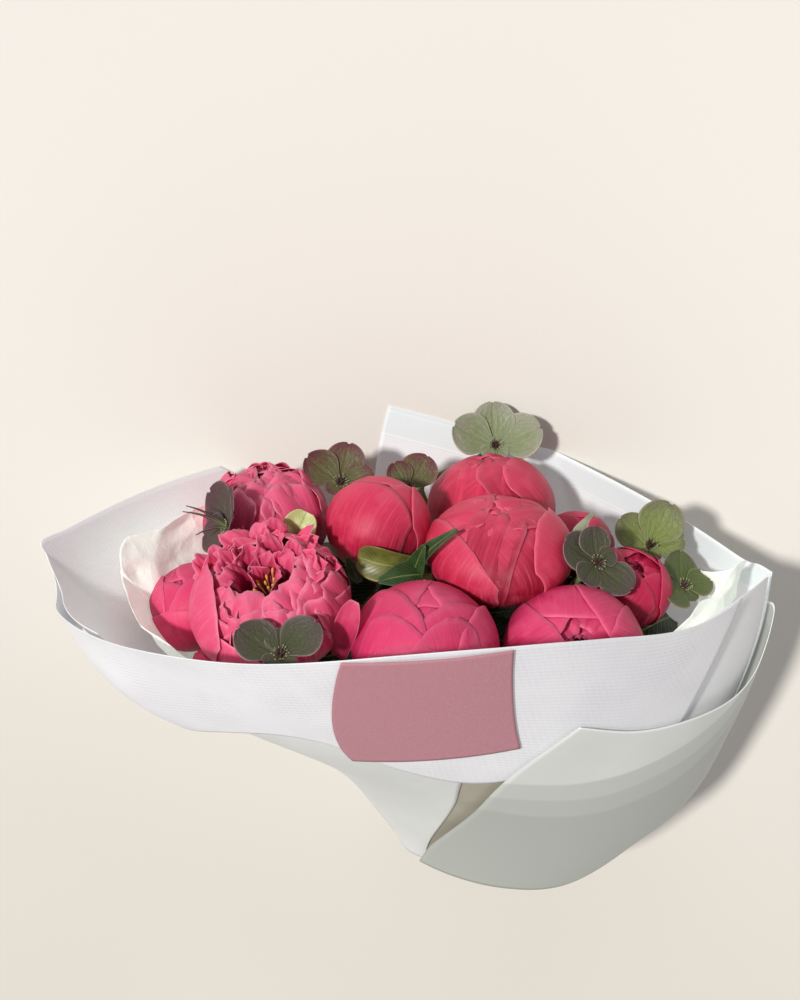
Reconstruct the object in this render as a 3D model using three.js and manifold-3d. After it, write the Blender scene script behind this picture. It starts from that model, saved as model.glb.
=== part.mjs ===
// A wrapped hand bouquet of peonies and hellebores, lying on its back.
//
// Everything is built upright, in millimetres: x to the right, y to the back and z up the
// bouquet's axis, with the origin at the middle of the wrap's mouth. The last lines lay the
// finished bouquet on its back, so that the flat back of the wrap rests on the surface.

import * as THREE from 'three';
import { mergeVertices } from 'three/addons/utils/BufferGeometryUtils.js';
import Module from 'manifold-3d';

const wasm = await Module();
wasm.setup();

const DEG = Math.PI / 180;

// ---------------------------------------------------------------- driving dimensions

// The wrap is a funnel with a flat back. Its stations stand every STATION_STEP up the axis.
const FOOT = -290;
const STATION_STEP = 75;
const LEFT_EDGE = [18, -16, -66, -178, -236, -268];
const RIGHT_EDGE = [120, 197, 224, 238, 239, 239];
const FRONT_DEPTH = [42, 62, 84, 108, 127, 141];
const BACK_DEPTH = 55;
const BACK_LEAN = 17 * DEG;
const BACK_FULLNESS = 1.22;
const PAPER = 1.0;
const TISSUE = 0.8;

// Where each sheet lies: how far its inner face is outside the funnel.
const LAYER = {
  inner: 1.6,
  backLeft: 1.6,
  frontLeft: 4.6,
  backRight: 5.0,
  collar: 7.2,
  card: 8.6,
  outer: 10,
};
const CARD_THICKNESS = 0.8;

// Peonies: centre, radius, the way the bloom faces, its flattening, and turn about its axis.
const PEONIES = [
  { at: [-96, 62, -10], radius: 43, faces: [-0.1, 0.15, 1], squash: 0.8, turn: 20, open: true },
  { at: [-84, -38, -6], radius: 49, faces: [-0.1, -0.3, 1], squash: 0.74, turn: 65, open: true },
  { at: [-143, 4, -41], radius: 32, faces: [-0.45, -0.1, 1], squash: 0.85, turn: 200 },
  { at: [-18, 28, 9], radius: 34.7, faces: [0.1, 0.1, 1], squash: 0.95, turn: 250 },
  { at: [61, 91, -19], radius: 44, faces: [0, 0.2, 1], squash: 0.8, turn: 130 },
  { at: [62, 5, 5], radius: 47.5, faces: [0.02, -0.02, 1], squash: 0.62, turn: 300 },
  { at: [12, -67, -18], radius: 45.5, faces: [0.05, -0.12, 1], squash: 0.84, turn: 95 },
  { at: [107.5, -58.2, -31], radius: 45.5, faces: [0.05, -0.6, 1], squash: 0.8, turn: 10 },
  { at: [150, 5, -26], radius: 29, faces: [0.3, -0.15, 1], squash: 0.85, turn: 160 },
  { at: [120, 50, -22], radius: 25, faces: [0.15, 0.1, 1], squash: 0.9, turn: 40 },
  { at: [165, -34, -64], radius: 21, faces: [0.35, -0.2, 1], squash: 0.9, turn: 220 },
  { at: [-118, -46, -58], radius: 20, faces: [-0.35, -0.25, 1], squash: 0.9, turn: 280 },
];

// Hellebores: centre, the way the flower faces, the direction and length of each sepal seen
// from that side, and the point that the stem passes on the way down.
const HELLEBORES = [
  {
    at: [-45, 78, 10],
    faces: [0.05, -0.5, 0.85],
    sepals: [[80, 28], [148, 28], [18, 23], [225, 12], [305, 12]],
    down: [-42, 79, -20],
  },
  {
    at: [2, 76, 6],
    faces: [0.1, -0.5, 0.85],
    sepals: [[62, 27], [122, 20], [180, 12], [240, 12], [310, 12]],
    down: [0, 74, -20],
  },
  {
    at: [66, 129, 9],
    faces: [0, -0.6, 0.8],
    sepals: [[93, 29], [160, 27], [28, 29], [225, 12], [315, 12]],
    down: [10, 122, -20],
  },
  {
    at: [-116, 12, 17],
    faces: [-0.9, -0.15, 0.4],
    sepals: [[95, 36], [150, 28], [40, 26], [265, 24], [330, 18]],
    down: [-108, 19, -15],
  },
  {
    at: [-75, -103, 4],
    faces: [0.05, -0.3, 1],
    sepals: [[152, 29], [42, 28], [95, 18], [225, 12], [310, 12]],
    down: [-62, -98, -25],
  },
  {
    at: [124, -13.6, 7.4],
    faces: [0.35, -0.55, 0.8],
    sepals: [[112, 29], [85, 24], [325, 27], [40, 14], [235, 12]],
    down: [113, -1, -18],
  },
  {
    at: [168, 40, -18],
    faces: [0.1, -0.5, 0.85],
    sepals: [[140, 27], [64, 32], [12, 24], [215, 12], [290, 12]],
    down: [172, 36, -26],
  },
  {
    at: [188, 12, -31],
    faces: [0.4, -0.3, 0.9],
    sepals: [[82, 22], [24, 20], [145, 13], [322, 15], [240, 13]],
    down: [186, 18, -42],
  },
];
const HELLEBORE_COLOURS = ['mauve', 'mauve', 'grey', 'mauve', 'dark', 'dark', 'lime', 'lime'];
const WITH_BEAKS = [4, 7];

// The stems come together in a tied bundle that lies along the back of the wrap.
const STEM = 6;
const SLIM_STEM = 5.2;
const STEM_PITCH = 6.2;
const BUNDLE_X = 75;
const TIE_HEIGHT = -228;
const STEM_END = -298;
const GATHERED = -204;
const LEVELS = [-40, -64, -88, -112, -136, -160, -182];
const STEM_ROOM = [11, 11, 11, 10, 9, 8, 7];
const TWINE = 2.2;
const TWINE_TURNS = 4;

// Where the laid bouquet's axis frame stands over the middle of its footprint.
const REST_X = 5;
const REST_Y = -101.5;

// ---------------------------------------------------------------- materials

function finish(color, roughness) {
  return new THREE.MeshStandardMaterial({ color, roughness, metalness: 0 });
}

const PEONY_PINK = finish('#d9315f', 0.6);
const STEM_GREEN = finish('#5f7a35', 0.65);
const HELLEBORE = {
  mauve: finish('#7a5560', 0.6),
  grey: finish('#8d9678', 0.6),
  dark: finish('#4f5240', 0.6),
  lime: finish('#8f9c57', 0.6),
};
const WHITE_PAPER = finish('#dcd9df', 0.55);
const GREY_PAPER = finish('#c3c7bf', 0.5);
const TISSUE_PAPER = finish('#f0e8de', 0.8);
const TWINE_FIBRE = finish('#c9b48a', 0.9);
const CARD_STOCK = finish('#bc848d', 0.6);

// ---------------------------------------------------------------- making solids

// Vertices that coincide become one, which is what makes a mesh closed, and the triangles are
// turned over if the volume that they enclose comes out negative.
function toSolid(geometry) {
  const bare = geometry.clone();
  bare.deleteAttribute('normal');
  bare.deleteAttribute('uv');
  const merged = mergeVertices(bare, 1e-4);
  const corners = merged.index.array;
  const [a, b, c] = [0, 1, 2].map(() => new THREE.Vector3());
  let volume = 0;
  for (let k = 0; k < corners.length; k += 3) {
    [a, b, c].forEach((corner, n) => corner.fromBufferAttribute(merged.attributes.position, corners[k + n]));
    volume += a.dot(b.cross(c));
  }
  return new wasm.Manifold(new wasm.Mesh({
    numProp: 3,
    vertProperties: merged.attributes.position.array,
    triVerts: new Uint32Array(volume < 0 ? corners.slice().reverse() : corners),
  }));
}

// Joins closed pieces into one body. A hollow that the joining seals is filled, because only
// the body's outer surface is kept.
function fuse(geometries) {
  const joined = geometries.map(toSolid).reduce((sum, piece) => sum.add(piece));
  const surfaces = joined.decompose().sort((a, b) => b.volume() - a.volume());
  const { vertProperties, triVerts } = surfaces[0].getMesh();
  const geometry = new THREE.BufferGeometry();
  geometry.setAttribute('position', new THREE.BufferAttribute(vertProperties, 3));
  geometry.setIndex(new THREE.BufferAttribute(triVerts, 1));
  return geometry;
}

function named(name, geometry, material) {
  geometry.computeVertexNormals();
  const mesh = new THREE.Mesh(geometry, material);
  mesh.name = name;
  return mesh;
}

// A closed blade between two faces. face(u, v, side) gives a point for u from -1 to 1 across
// the blade, v from 0 to 1 along it, and side 0 (inner) or 1 (outer). Both faces are split
// into the same triangles.
function blade(face, across, along) {
  const rows = along + 1;
  const columns = across + 1;
  const points = [];
  for (const side of [0, 1]) {
    for (let j = 0; j < rows; j += 1) {
      for (let i = 0; i < columns; i += 1) {
        points.push(face((2 * i) / across - 1, j / along, side));
      }
    }
  }
  const at = (side, i, j) => side * rows * columns + j * columns + i;
  const index = [];
  const quad = (a, b, c, d) => index.push(a, b, c, a, c, d);
  for (let j = 0; j < along; j += 1) {
    for (let i = 0; i < across; i += 1) {
      quad(at(1, i, j), at(1, i + 1, j), at(1, i + 1, j + 1), at(1, i, j + 1));
      index.push(at(0, i, j), at(0, i + 1, j + 1), at(0, i + 1, j));
      index.push(at(0, i, j), at(0, i, j + 1), at(0, i + 1, j + 1));
    }
  }
  for (let i = 0; i < across; i += 1) {
    quad(at(0, i, 0), at(0, i + 1, 0), at(1, i + 1, 0), at(1, i, 0));
    quad(at(0, i + 1, along), at(0, i, along), at(1, i, along), at(1, i + 1, along));
  }
  for (let j = 0; j < along; j += 1) {
    quad(at(0, 0, j + 1), at(0, 0, j), at(1, 0, j), at(1, 0, j + 1));
    quad(at(0, across, j), at(0, across, j + 1), at(1, across, j + 1), at(1, across, j));
  }
  return meshOf(points, index);
}

function meshOf(points, index) {
  const geometry = new THREE.BufferGeometry().setFromPoints(points);
  geometry.setIndex(index);
  return geometry;
}

// A path that turns only at its points, which are evenly shared out along it.
class Route extends THREE.Curve {
  constructor(points) {
    super();
    this.points = points;
  }

  getPoint(share) {
    const place = share * (this.points.length - 1);
    const k = Math.min(Math.floor(place), this.points.length - 2);
    return new THREE.Vector3().lerpVectors(this.points[k], this.points[k + 1], place - k);
  }

  getPointAt(share) {
    return this.getPoint(share);
  }
}

// A round rod with a section at each point of its path.
function rod(path, diameter, sides) {
  const section = new THREE.Shape();
  for (let k = 0; k < sides; k += 1) {
    const angle = (2 * Math.PI * k) / sides;
    const point = [(diameter / 2) * Math.cos(angle), (diameter / 2) * Math.sin(angle)];
    if (k === 0) section.moveTo(...point);
    else section.lineTo(...point);
  }
  section.closePath();
  return new THREE.ExtrudeGeometry(section, { steps: path.length - 1, extrudePath: new Route(path) });
}

const vector = (list) => new THREE.Vector3(...list);
const mix = (a, b, share) => a + (b - a) * share;

// The matrix that stands a flower's own frame, facing +Z, in the bouquet.
function stance({ at, faces, turn = 0 }) {
  const facing = vector(faces).normalize();
  const tilt = new THREE.Quaternion().setFromUnitVectors(new THREE.Vector3(0, 0, 1), facing);
  const spin = new THREE.Quaternion().setFromAxisAngle(new THREE.Vector3(0, 0, 1), turn * DEG);
  return new THREE.Matrix4().compose(vector(at), tilt.multiply(spin), new THREE.Vector3(1, 1, 1));
}

function stand(mesh, flower) {
  stance(flower).decompose(mesh.position, mesh.quaternion, mesh.scale);
  return mesh;
}

// ---------------------------------------------------------------- peony blooms

const ROOT_FALL = 152;
const GOLDEN_ANGLE = 137.5;
const CLOSED_HEART = 0.83;
const LARGE_BLOOM = 36;

// A point of a flattened globe, fall degrees from its pole on the meridian at azimuth, then
// swung sideways by spread degrees.
function globePoint(radius, squash, azimuth, fall, spread) {
  const [a, f, s] = [azimuth * DEG, fall * DEG, spread * DEG];
  const x = Math.cos(s) * Math.sin(f) * Math.cos(a) - Math.sin(s) * Math.sin(a);
  const y = Math.cos(s) * Math.sin(f) * Math.sin(a) + Math.sin(s) * Math.cos(a);
  const z = Math.cos(s) * Math.cos(f) * squash;
  return new THREE.Vector3(x, y, z).multiplyScalar(radius);
}

// A petal is a patch of such a globe: narrow at the root, broad above, round at its free edge.
// Its waves depend only on the direction from the bloom's middle, so that petals lying over one
// another keep their distance.
function petal(bloom, { size, azimuth, tip, width, flare, ruffle, inner, across, along }) {
  return blade((u, v, side) => {
    const edge = tip + 42 * (1 - Math.sqrt(1 - 0.92 * u * u));
    const fall = mix(ROOT_FALL, edge, v);
    const spread = u * width * mix(0.4, 1, Math.sin(Math.min(1, v / 0.6) * 90 * DEG));
    const wave = ruffle * Math.sin(9 * (azimuth + spread) * DEG) * Math.sin(fall * DEG) * v * v;
    const outside = bloom.radius * size * (1 + flare * v ** 4) + wave;
    const radius = side ? outside : inner(outside);
    return globePoint(radius, bloom.squash, azimuth, fall, spread);
  }, across, along);
}

function heart(bloom, share, rise) {
  const globe = new THREE.SphereGeometry(bloom.radius * share, 10, 6);
  globe.rotateX(90 * DEG);
  globe.scale(1, 1, bloom.squash);
  globe.translate(0, 0, rise * bloom.squash * bloom.radius);
  return globe;
}

// A closed bloom: broad petals wrapped over one another round a solid heart, the later ones
// further in and closing nearer the pole.
function closedBloom(bloom) {
  const tips = bloom.radius > LARGE_BLOOM ? [46, 37, 28, 18, 4] : [42, 30, 18, 4];
  const petals = tips.map((tip, k) => petal(bloom, {
    size: 1 - 0.03 * k,
    azimuth: k * GOLDEN_ANGLE,
    tip,
    width: 64 - 2 * k,
    flare: 0.015,
    ruffle: 0,
    inner: () => bloom.radius * 0.76,
    across: bloom.radius > LARGE_BLOOM ? 4 : 3,
    along: 3,
  }));
  return fuse([heart(bloom, CLOSED_HEART, 0), ...petals]);
}

// An open bloom: loose ruffled petals one inside another, the outer ones flared into a cup and
// the inner ones standing up round the middle.
function openBloom(bloom) {
  const petals = Array.from({ length: 9 }, (_, k) => petal(bloom, {
    size: 1 - 0.055 * k,
    azimuth: k * GOLDEN_ANGLE,
    tip: 66 - 5 * k,
    width: 50 - k,
    flare: 0.03,
    ruffle: 0.8 + 0.1 * k,
    inner: (outside) => outside - 1.1,
    across: 4,
    along: 3,
  }));
  return fuse([heart(bloom, 0.62, -0.38), ...petals]);
}

function peony(bloom, number) {
  const geometry = bloom.open ? openBloom(bloom) : closedBloom(bloom);
  return stand(named(`peony_${number}`, geometry, PEONY_PINK), bloom);
}

// ---------------------------------------------------------------- hellebore flowers

// Five cupped sepals that overlap at different heights, round a seed head with beaks.
const SEPAL_HEIGHTS = [0, 1.6, 0, 1.6, 0.8];
const SEPAL_SHARE = 0.56;

function hellebore(flower, number) {
  const sepals = flower.sepals.map(([direction, length], k) => blade((u, v, side) => {
    const reach = mix(2, length * (1 - 0.16 * u * u * v), v);
    const swell = Math.sin(Math.min(1, 0.1 + v * 0.62) * 180 * DEG) ** 0.8;
    const half = length * SEPAL_SHARE * mix(0.16, 1, swell);
    const cup = 0.009 * (reach * reach + half * half * u * u);
    const point = new THREE.Vector3(reach, u * half, cup + SEPAL_HEIGHTS[k] + (side ? 0 : -0.7));
    return point.applyAxisAngle(new THREE.Vector3(0, 0, 1), direction * DEG);
  }, 2, 2));
  const seedHead = new THREE.SphereGeometry(3.4, 5, 4);
  seedHead.rotateX(90 * DEG);
  const beaks = (WITH_BEAKS.includes(number) ? [0, 1, 2] : []).map((k) => {
    const lean = new THREE.Vector3(2.4, 0, 9).applyAxisAngle(new THREE.Vector3(0, 0, 1), k * 120 * DEG);
    return rod([new THREE.Vector3(0, 0, 1), lean], 1.3, 3);
  });
  const geometry = fuse([seedHead, ...sepals, ...beaks]);
  const colour = HELLEBORE[HELLEBORE_COLOURS[number - 1]];
  return stand(named(`hellebore_${number}`, geometry, colour), flower);
}

// ---------------------------------------------------------------- the wrap's funnel

// A smooth curve through the stations' values, read at a height up the axis.
function station(values, height) {
  const place = Math.min(Math.max((height - FOOT) / STATION_STEP, 0), values.length - 1 - 1e-9);
  const k = Math.floor(place);
  const u = place - k;
  const b = values[k];
  const c = values[k + 1];
  const a = k > 0 ? values[k - 1] : 2 * b - c;
  const d = k + 2 < values.length ? values[k + 2] : 2 * c - b;
  return 0.5 * (2 * b + (c - a) * u + (2 * a - 5 * b + 4 * c - d) * u * u + (3 * b - a - 3 * c + d) * u ** 3);
}

function backDepth(height) {
  return BACK_DEPTH + Math.tan(BACK_LEAN) * (height - FOOT);
}

// A point of the funnel: angle 0 is its right-hand edge, 90 its front, 180 its left-hand edge
// and 270 its back. The front is rounded and the back runs straight to both edges, with a
// flat in its middle. out is the distance outside the funnel, and the insets draw its edges in.
function funnel(angle, height, out, insetLeft = 0, insetRight = 0) {
  const [cosine, sine] = [Math.cos(angle * DEG), Math.sin(angle * DEG)];
  const left = station(LEFT_EDGE, height) + insetLeft;
  const right = station(RIGHT_EDGE, height) - insetRight;
  const x = (left + right) / 2 + ((right - left) / 2 + out) * cosine;
  if (sine >= 0) {
    const front = -(station(FRONT_DEPTH, height) + out) * sine ** (1.2 + 0.3 * cosine);
    return new THREE.Vector3(x, front, height);
  }
  const climb = Math.min(1.2, (height - FOOT) / 306);
  const curved = BACK_FULLNESS * backDepth(height) * Math.abs(sine) ** (1 + climb * climb);
  const y = Math.min(curved, backDepth(height)) + out * Math.min(1, 4 * Math.abs(sine));
  return new THREE.Vector3(x, y, height);
}

// A value read along a list of [angle, height] points, for share from 0 to 1.
function along(edge, share) {
  const place = share * (edge.length - 1);
  const k = Math.min(Math.floor(place), edge.length - 2);
  return [0, 1].map((part) => mix(edge[k][part], edge[k + 1][part], place - k));
}

// A sheet of paper on the funnel between a top and a bottom edge.
function sheet({ name, out, thickness, top, bottom, columns, rows, material, bulge }) {
  const geometry = blade((u, v, side) => {
    const high = along(top, (u + 1) / 2);
    const low = along(bottom, (u + 1) / 2);
    const angle = mix(low[0], high[0], v);
    const height = mix(low[1], high[1], v);
    const extra = bulge ? bulge(angle, height) : 0;
    return funnel(angle, height, out + extra + (side ? thickness : 0));
  }, columns, rows);
  return named(name, fuse([geometry]), material);
}

function smooth(from, to, value) {
  const share = Math.min(1, Math.max(0, (value - from) / (to - from)));
  return share * share * (3 - 2 * share);
}

const backLeftSheet = () => sheet({
  name: 'wrap_back_left',
  out: LAYER.backLeft,
  thickness: PAPER,
  top: [[184, 12], [199, 10], [213, 7], [224, 3], [234, -2]],
  bottom: [[182, -60], [187, -120], [205, -190], [230, -285], [290, -285]],
  columns: 10,
  rows: 5,
  material: WHITE_PAPER,
});

const backRightSheet = () => sheet({
  name: 'wrap_back_right',
  out: LAYER.backRight,
  thickness: PAPER,
  top: [[268, 27], [279, 14], [294, -4], [312, -15], [338, -21], [348, -15], [356, -12]],
  bottom: [[228, -285], [250, -285], [275, -285], [300, -285], [325, -270], [345, -210], [357, -130]],
  columns: 12,
  rows: 5,
  material: WHITE_PAPER,
});

const innerSheet = () => sheet({
  name: 'wrap_inner',
  out: LAYER.inner,
  thickness: PAPER,
  top: [[3, -13], [15, -4], [30, 2], [50, 0], [75, -12], [105, -22], [135, -35], [160, -50]],
  bottom: [
    [3, -150], [12, -172], [28, -200], [55, -236], [80, -240], [105, -240], [130, -238], [155, -236],
  ],
  columns: 12,
  rows: 4,
  material: WHITE_PAPER,
});

const frontLeftSheet = () => sheet({
  name: 'wrap_front_left',
  out: LAYER.frontLeft,
  thickness: PAPER,
  top: [[89, -84], [106, -48], [130, -44], [155, -55], [176, -75], [196, -100]],
  bottom: [[139, -238], [150, -242], [163, -246], [178, -250], [196, -254], [216, -258]],
  columns: 10,
  rows: 4,
  material: WHITE_PAPER,
});

// The collar stands away from the funnel at its loose lower left-hand corner.
const collarSheet = () => sheet({
  name: 'wrap_collar',
  out: LAYER.collar,
  thickness: PAPER,
  top: [
    [184, 10], [171, -11], [158, -5], [142, 0], [128, 7], [112, 16],
    [90, 34], [75, 36], [62, 28], [46, 10], [31, 7],
  ],
  bottom: [
    [184, -10], [169, -45], [158, -66], [146, -78], [130, -68], [112, -62],
    [104, -88], [96, -100], [83, -97], [64, -90], [46, -76],
  ],
  columns: 16,
  rows: 3,
  material: WHITE_PAPER,
  bulge: (angle, height) => 18 * smooth(118, 150, angle) * smooth(0, -70, height) * smooth(180, 168, angle)
    - 4.2 * smooth(164, 177, angle),
});

const outerSheet = () => sheet({
  name: 'wrap_outer_right',
  out: LAYER.outer,
  thickness: PAPER,
  top: [[-25, -60], [-10, -45], [-2, -40], [5, -58], [13, -80], [28, -85], [46, -75], [58, -64], [68, -45]],
  bottom: [
    [-32, -168], [-16, -172], [0, -178], [16, -184], [36, -194],
    [54, -206], [68, -242], [100, -243], [138, -236],
  ],
  columns: 13,
  rows: 5,
  material: GREY_PAPER,
});

// Tissue lines the wrap at both sides, crumpled in broad facets.
function crumple(angle, height, size) {
  return size * (Math.sin(0.21 * angle + 0.09 * height) + 0.6 * Math.sin(0.47 * angle - 0.16 * height + 1));
}

function tissue({ name, top, bottom, insetLeft, insetRight }) {
  const geometry = blade((u, v, side) => {
    const high = along(top, (u + 1) / 2);
    const low = along(bottom, (u + 1) / 2);
    const angle = mix(low[0], high[0], v);
    const height = mix(low[1], high[1], v);
    const fold = crumple(angle, height, 0.7 * v);
    const near = smooth(-110, -40, height);
    const out = mix(-0.8, -3.2, v) + fold + (side ? TISSUE : 0);
    return funnel(angle, height, out, insetLeft * near, insetRight * near);
  }, 9, 5);
  return named(name, fuse([geometry]), TISSUE_PAPER);
}

const leftTissue = () => tissue({
  name: 'tissue_left',
  top: [[144, -12], [158, -14], [171, -18], [185, -10], [200, -14], [215, -22], [230, -26]],
  bottom: [[135, -130], [148, -140], [160, -145], [180, -150], [200, -145], [220, -140], [236, -130]],
  insetLeft: 9,
  insetRight: 0,
});

const rightTissue = () => tissue({
  name: 'tissue_right',
  top: [[44, -14], [38, -8], [30, -2], [22, -12], [12, -4], [-4, -16], [-22, -26]],
  bottom: [[44, -120], [36, -130], [26, -140], [14, -140], [2, -135], [-14, -125], [-28, -110]],
  insetLeft: 0,
  insetRight: 16,
});

const card = () => sheet({
  name: 'card',
  out: LAYER.card,
  thickness: CARD_THICKNESS,
  top: [[74.8, 34.5], [97.7, 28]],
  bottom: [[78.5, -59], [110.5, -80]],
  columns: 6,
  rows: 3,
  material: CARD_STOCK,
});

// ---------------------------------------------------------------- stems

// The bundle's centre line lies just inside the back of the wrap, with the twine between.
function bundleAt(height) {
  const rowDepth = 2 * STEM_PITCH * 0.866;
  const inset = (rowDepth + STEM / 2 + TWINE) / Math.cos(BACK_LEAN);
  return new THREE.Vector3(BUNDLE_X, backDepth(height) + LAYER.backLeft - inset - 0.6, height);
}

// Nineteen stems pack as a hexagon.
const HEXAGON_ROWS = [3, 4, 5, 4, 3];

function hexagonPlaces() {
  const places = [];
  HEXAGON_ROWS.forEach((count, row) => {
    for (let k = 0; k < count; k += 1) {
      const across = (k - (count - 1) / 2) * STEM_PITCH;
      const deep = ((row - 2) * STEM_PITCH * 0.866) / Math.cos(BACK_LEAN);
      places.push(new THREE.Vector3(across, deep, 0));
    }
  });
  return places;
}

// Where each stem leaves its flower, and the way it starts down.
function stemTop(flower) {
  const facing = vector(flower.faces).normalize();
  const behind = (distance) => vector(flower.at).addScaledVector(facing, -distance);
  if (flower.down) return { neck: behind(4.1), below: vector(flower.down) };
  const depth = flower.radius * flower.squash;
  return { neck: behind(depth + 2.2), below: behind(depth + 20) };
}

// Stems take the hexagon's places row by row from the front, in each row from left to right.
function bundlePlaces(tops) {
  const order = tops.map((_, k) => k).sort((a, b) => tops[a].below.y - tops[b].below.y);
  const hexagon = hexagonPlaces();
  const places = [];
  let next = 0;
  HEXAGON_ROWS.forEach((count) => {
    const row = order.slice(next, next + count).sort((a, b) => tops[a].below.x - tops[b].below.x);
    row.forEach((flower, k) => { places[flower] = hexagon[next + k]; });
    next += count;
  });
  return places;
}

// Level by level on the way down the stems draw together, and are pushed apart wherever two
// come too near each other. They stay in front of the back of the wrap.
function stemPaths(flowers) {
  const tops = flowers.map(stemTop);
  const places = bundlePlaces(tops);
  const rings = [];
  let points = tops.map(({ below }) => below.clone());
  let above = 0;
  LEVELS.forEach((height, level) => {
    points = points.map((point, k) => {
      const start = Math.min(above, tops[k].below.z);
      const share = Math.max(0, (start - height) / (start - GATHERED));
      const goal = bundleAt(height).add(places[k]);
      return new THREE.Vector3(mix(point.x, goal.x, share), mix(point.y, goal.y, share), height);
    });
    pushApart(points, STEM_ROOM[level]);
    rings.push(points);
    above = height;
  });
  return tops.map(({ neck, below }, k) => [
    neck,
    ...(flowers[k].down ? [neck.clone().addScaledVector(vector(flowers[k].faces).normalize(), -5)] : []),
    below,
    ...rings.map((ring) => ring[k]).filter((point) => point.z < below.z - 8),
    bundleAt(GATHERED).add(places[k]),
    bundleAt(GATHERED - 13).add(places[k]),
    bundleAt(STEM_END).add(places[k]),
  ]);
}

function pushApart(points, room) {
  for (let round = 0; round < 80; round += 1) {
    points.forEach((a, i) => points.slice(i + 1).forEach((b) => {
      const apart = new THREE.Vector3().subVectors(b, a);
      const short = room - apart.length();
      if (short <= 0) return;
      apart.setLength(short / 2);
      a.sub(apart);
      b.add(apart);
    }));
    points.forEach((point) => {
      point.y = Math.min(point.y, backDepth(point.z) + LAYER.backLeft - STEM / 2 - 1.2);
    });
  }
}

// The green calyx under a bloom is a thin cup with five lobes, following its globe a little way
// outside it. The cup is turned as a lathe shape whose radius is an angle up from the globe's
// foot, and then laid onto the globe.
const CALYX_ANGLE = 34;
const CALYX_LOBES = 5;

function calyx(bloom) {
  const [inside, outside, foot] = [0.6, 1.8, 3.6];
  const sunk = bloom.open ? 0 : (1 - CLOSED_HEART) * bloom.radius;
  const profile = [
    [0, inside - sunk], [18, inside], [CALYX_ANGLE, inside], [CALYX_ANGLE, outside], [18, outside], [0, foot],
  ].map(([reach, out]) => new THREE.Vector2(reach, out));
  const cup = new THREE.LatheGeometry(profile, 2 * CALYX_LOBES);
  const corner = new THREE.Vector3();
  const spots = cup.attributes.position;
  for (let k = 0; k < spots.count; k += 1) {
    corner.fromBufferAttribute(spots, k);
    const azimuth = Math.atan2(corner.z, corner.x) / DEG;
    const reach = Math.hypot(corner.x, corner.z);
    const lobe = 1 + 0.4 * (reach / CALYX_ANGLE) ** 2 * Math.cos(CALYX_LOBES * azimuth * DEG);
    const clear = 2 * Math.sin(reach * lobe * DEG);
    const spot = globePoint(bloom.radius + clear + corner.y, bloom.squash, azimuth, 180 - reach * lobe, 0);
    spots.setXYZ(k, spot.x, spot.y, spot.z);
  }
  return cup.applyMatrix4(stance(bloom));
}

// A lance-shaped leaf from a point on a stem, arched along its rib.
function leaf({ from, to, normal, half, arch }) {
  const [start, end, up] = [vector(from), vector(to), vector(normal).normalize()];
  const rib = new THREE.Vector3().subVectors(end, start);
  const aside = new THREE.Vector3().crossVectors(rib, up).normalize();
  return blade((u, v, side) => {
    const width = half * mix(0.12, 1, Math.sin(Math.min(1, 0.08 + 0.86 * v) ** 0.8 * 180 * DEG));
    const lift = arch * Math.sin(v * 180 * DEG) + 0.18 * width * Math.abs(u) + (side ? 0.9 : 0);
    const wave = 0.5 * Math.sin(9 * v) * u;
    return start.clone().addScaledVector(rib, v).addScaledVector(aside, u * width)
      .addScaledVector(up, lift + wave);
  }, 2, 6);
}

// Leaves that show between the blooms, each on the stem that it grows from.
const LEAVES = {
  peony_stem_4: [
    { from: [-22, 22, -42], to: [28, -14, 30], normal: [-0.2, -1, 0.3], half: 6, arch: 9 },
    { from: [-22, 22, -40], to: [-24, -28, 8], normal: [0.2, -0.7, -0.7], half: 11, arch: 8.2 },
  ],
  hellebore_stem_4: [
    { from: [-108, 18, -10], to: [-72, 9, 25], normal: [-0.2, -1, 0.1], half: 6.5, arch: 3 },
  ],
};

function stemNode(name, pieces) {
  const leaves = (LEAVES[name] ?? []).map(leaf);
  return named(name, fuse([...pieces, ...leaves]), STEM_GREEN);
}

function peonyStem(bloom, number, path) {
  return stemNode(`peony_stem_${number}`, [rod(path, STEM, 6), calyx(bloom)]);
}

// The last hellebore is a side flower of the one before it, on a branch of the same stem.
function helleboreStem(number, path, branches) {
  const pieces = branches.map((flower) => {
    const { neck, below } = stemTop(flower);
    return rod([neck, below, path[3]], SLIM_STEM, 6);
  });
  return stemNode(`hellebore_stem_${number}`, [rod(path, SLIM_STEM, 6), ...pieces]);
}

// ---------------------------------------------------------------- the tie

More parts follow.
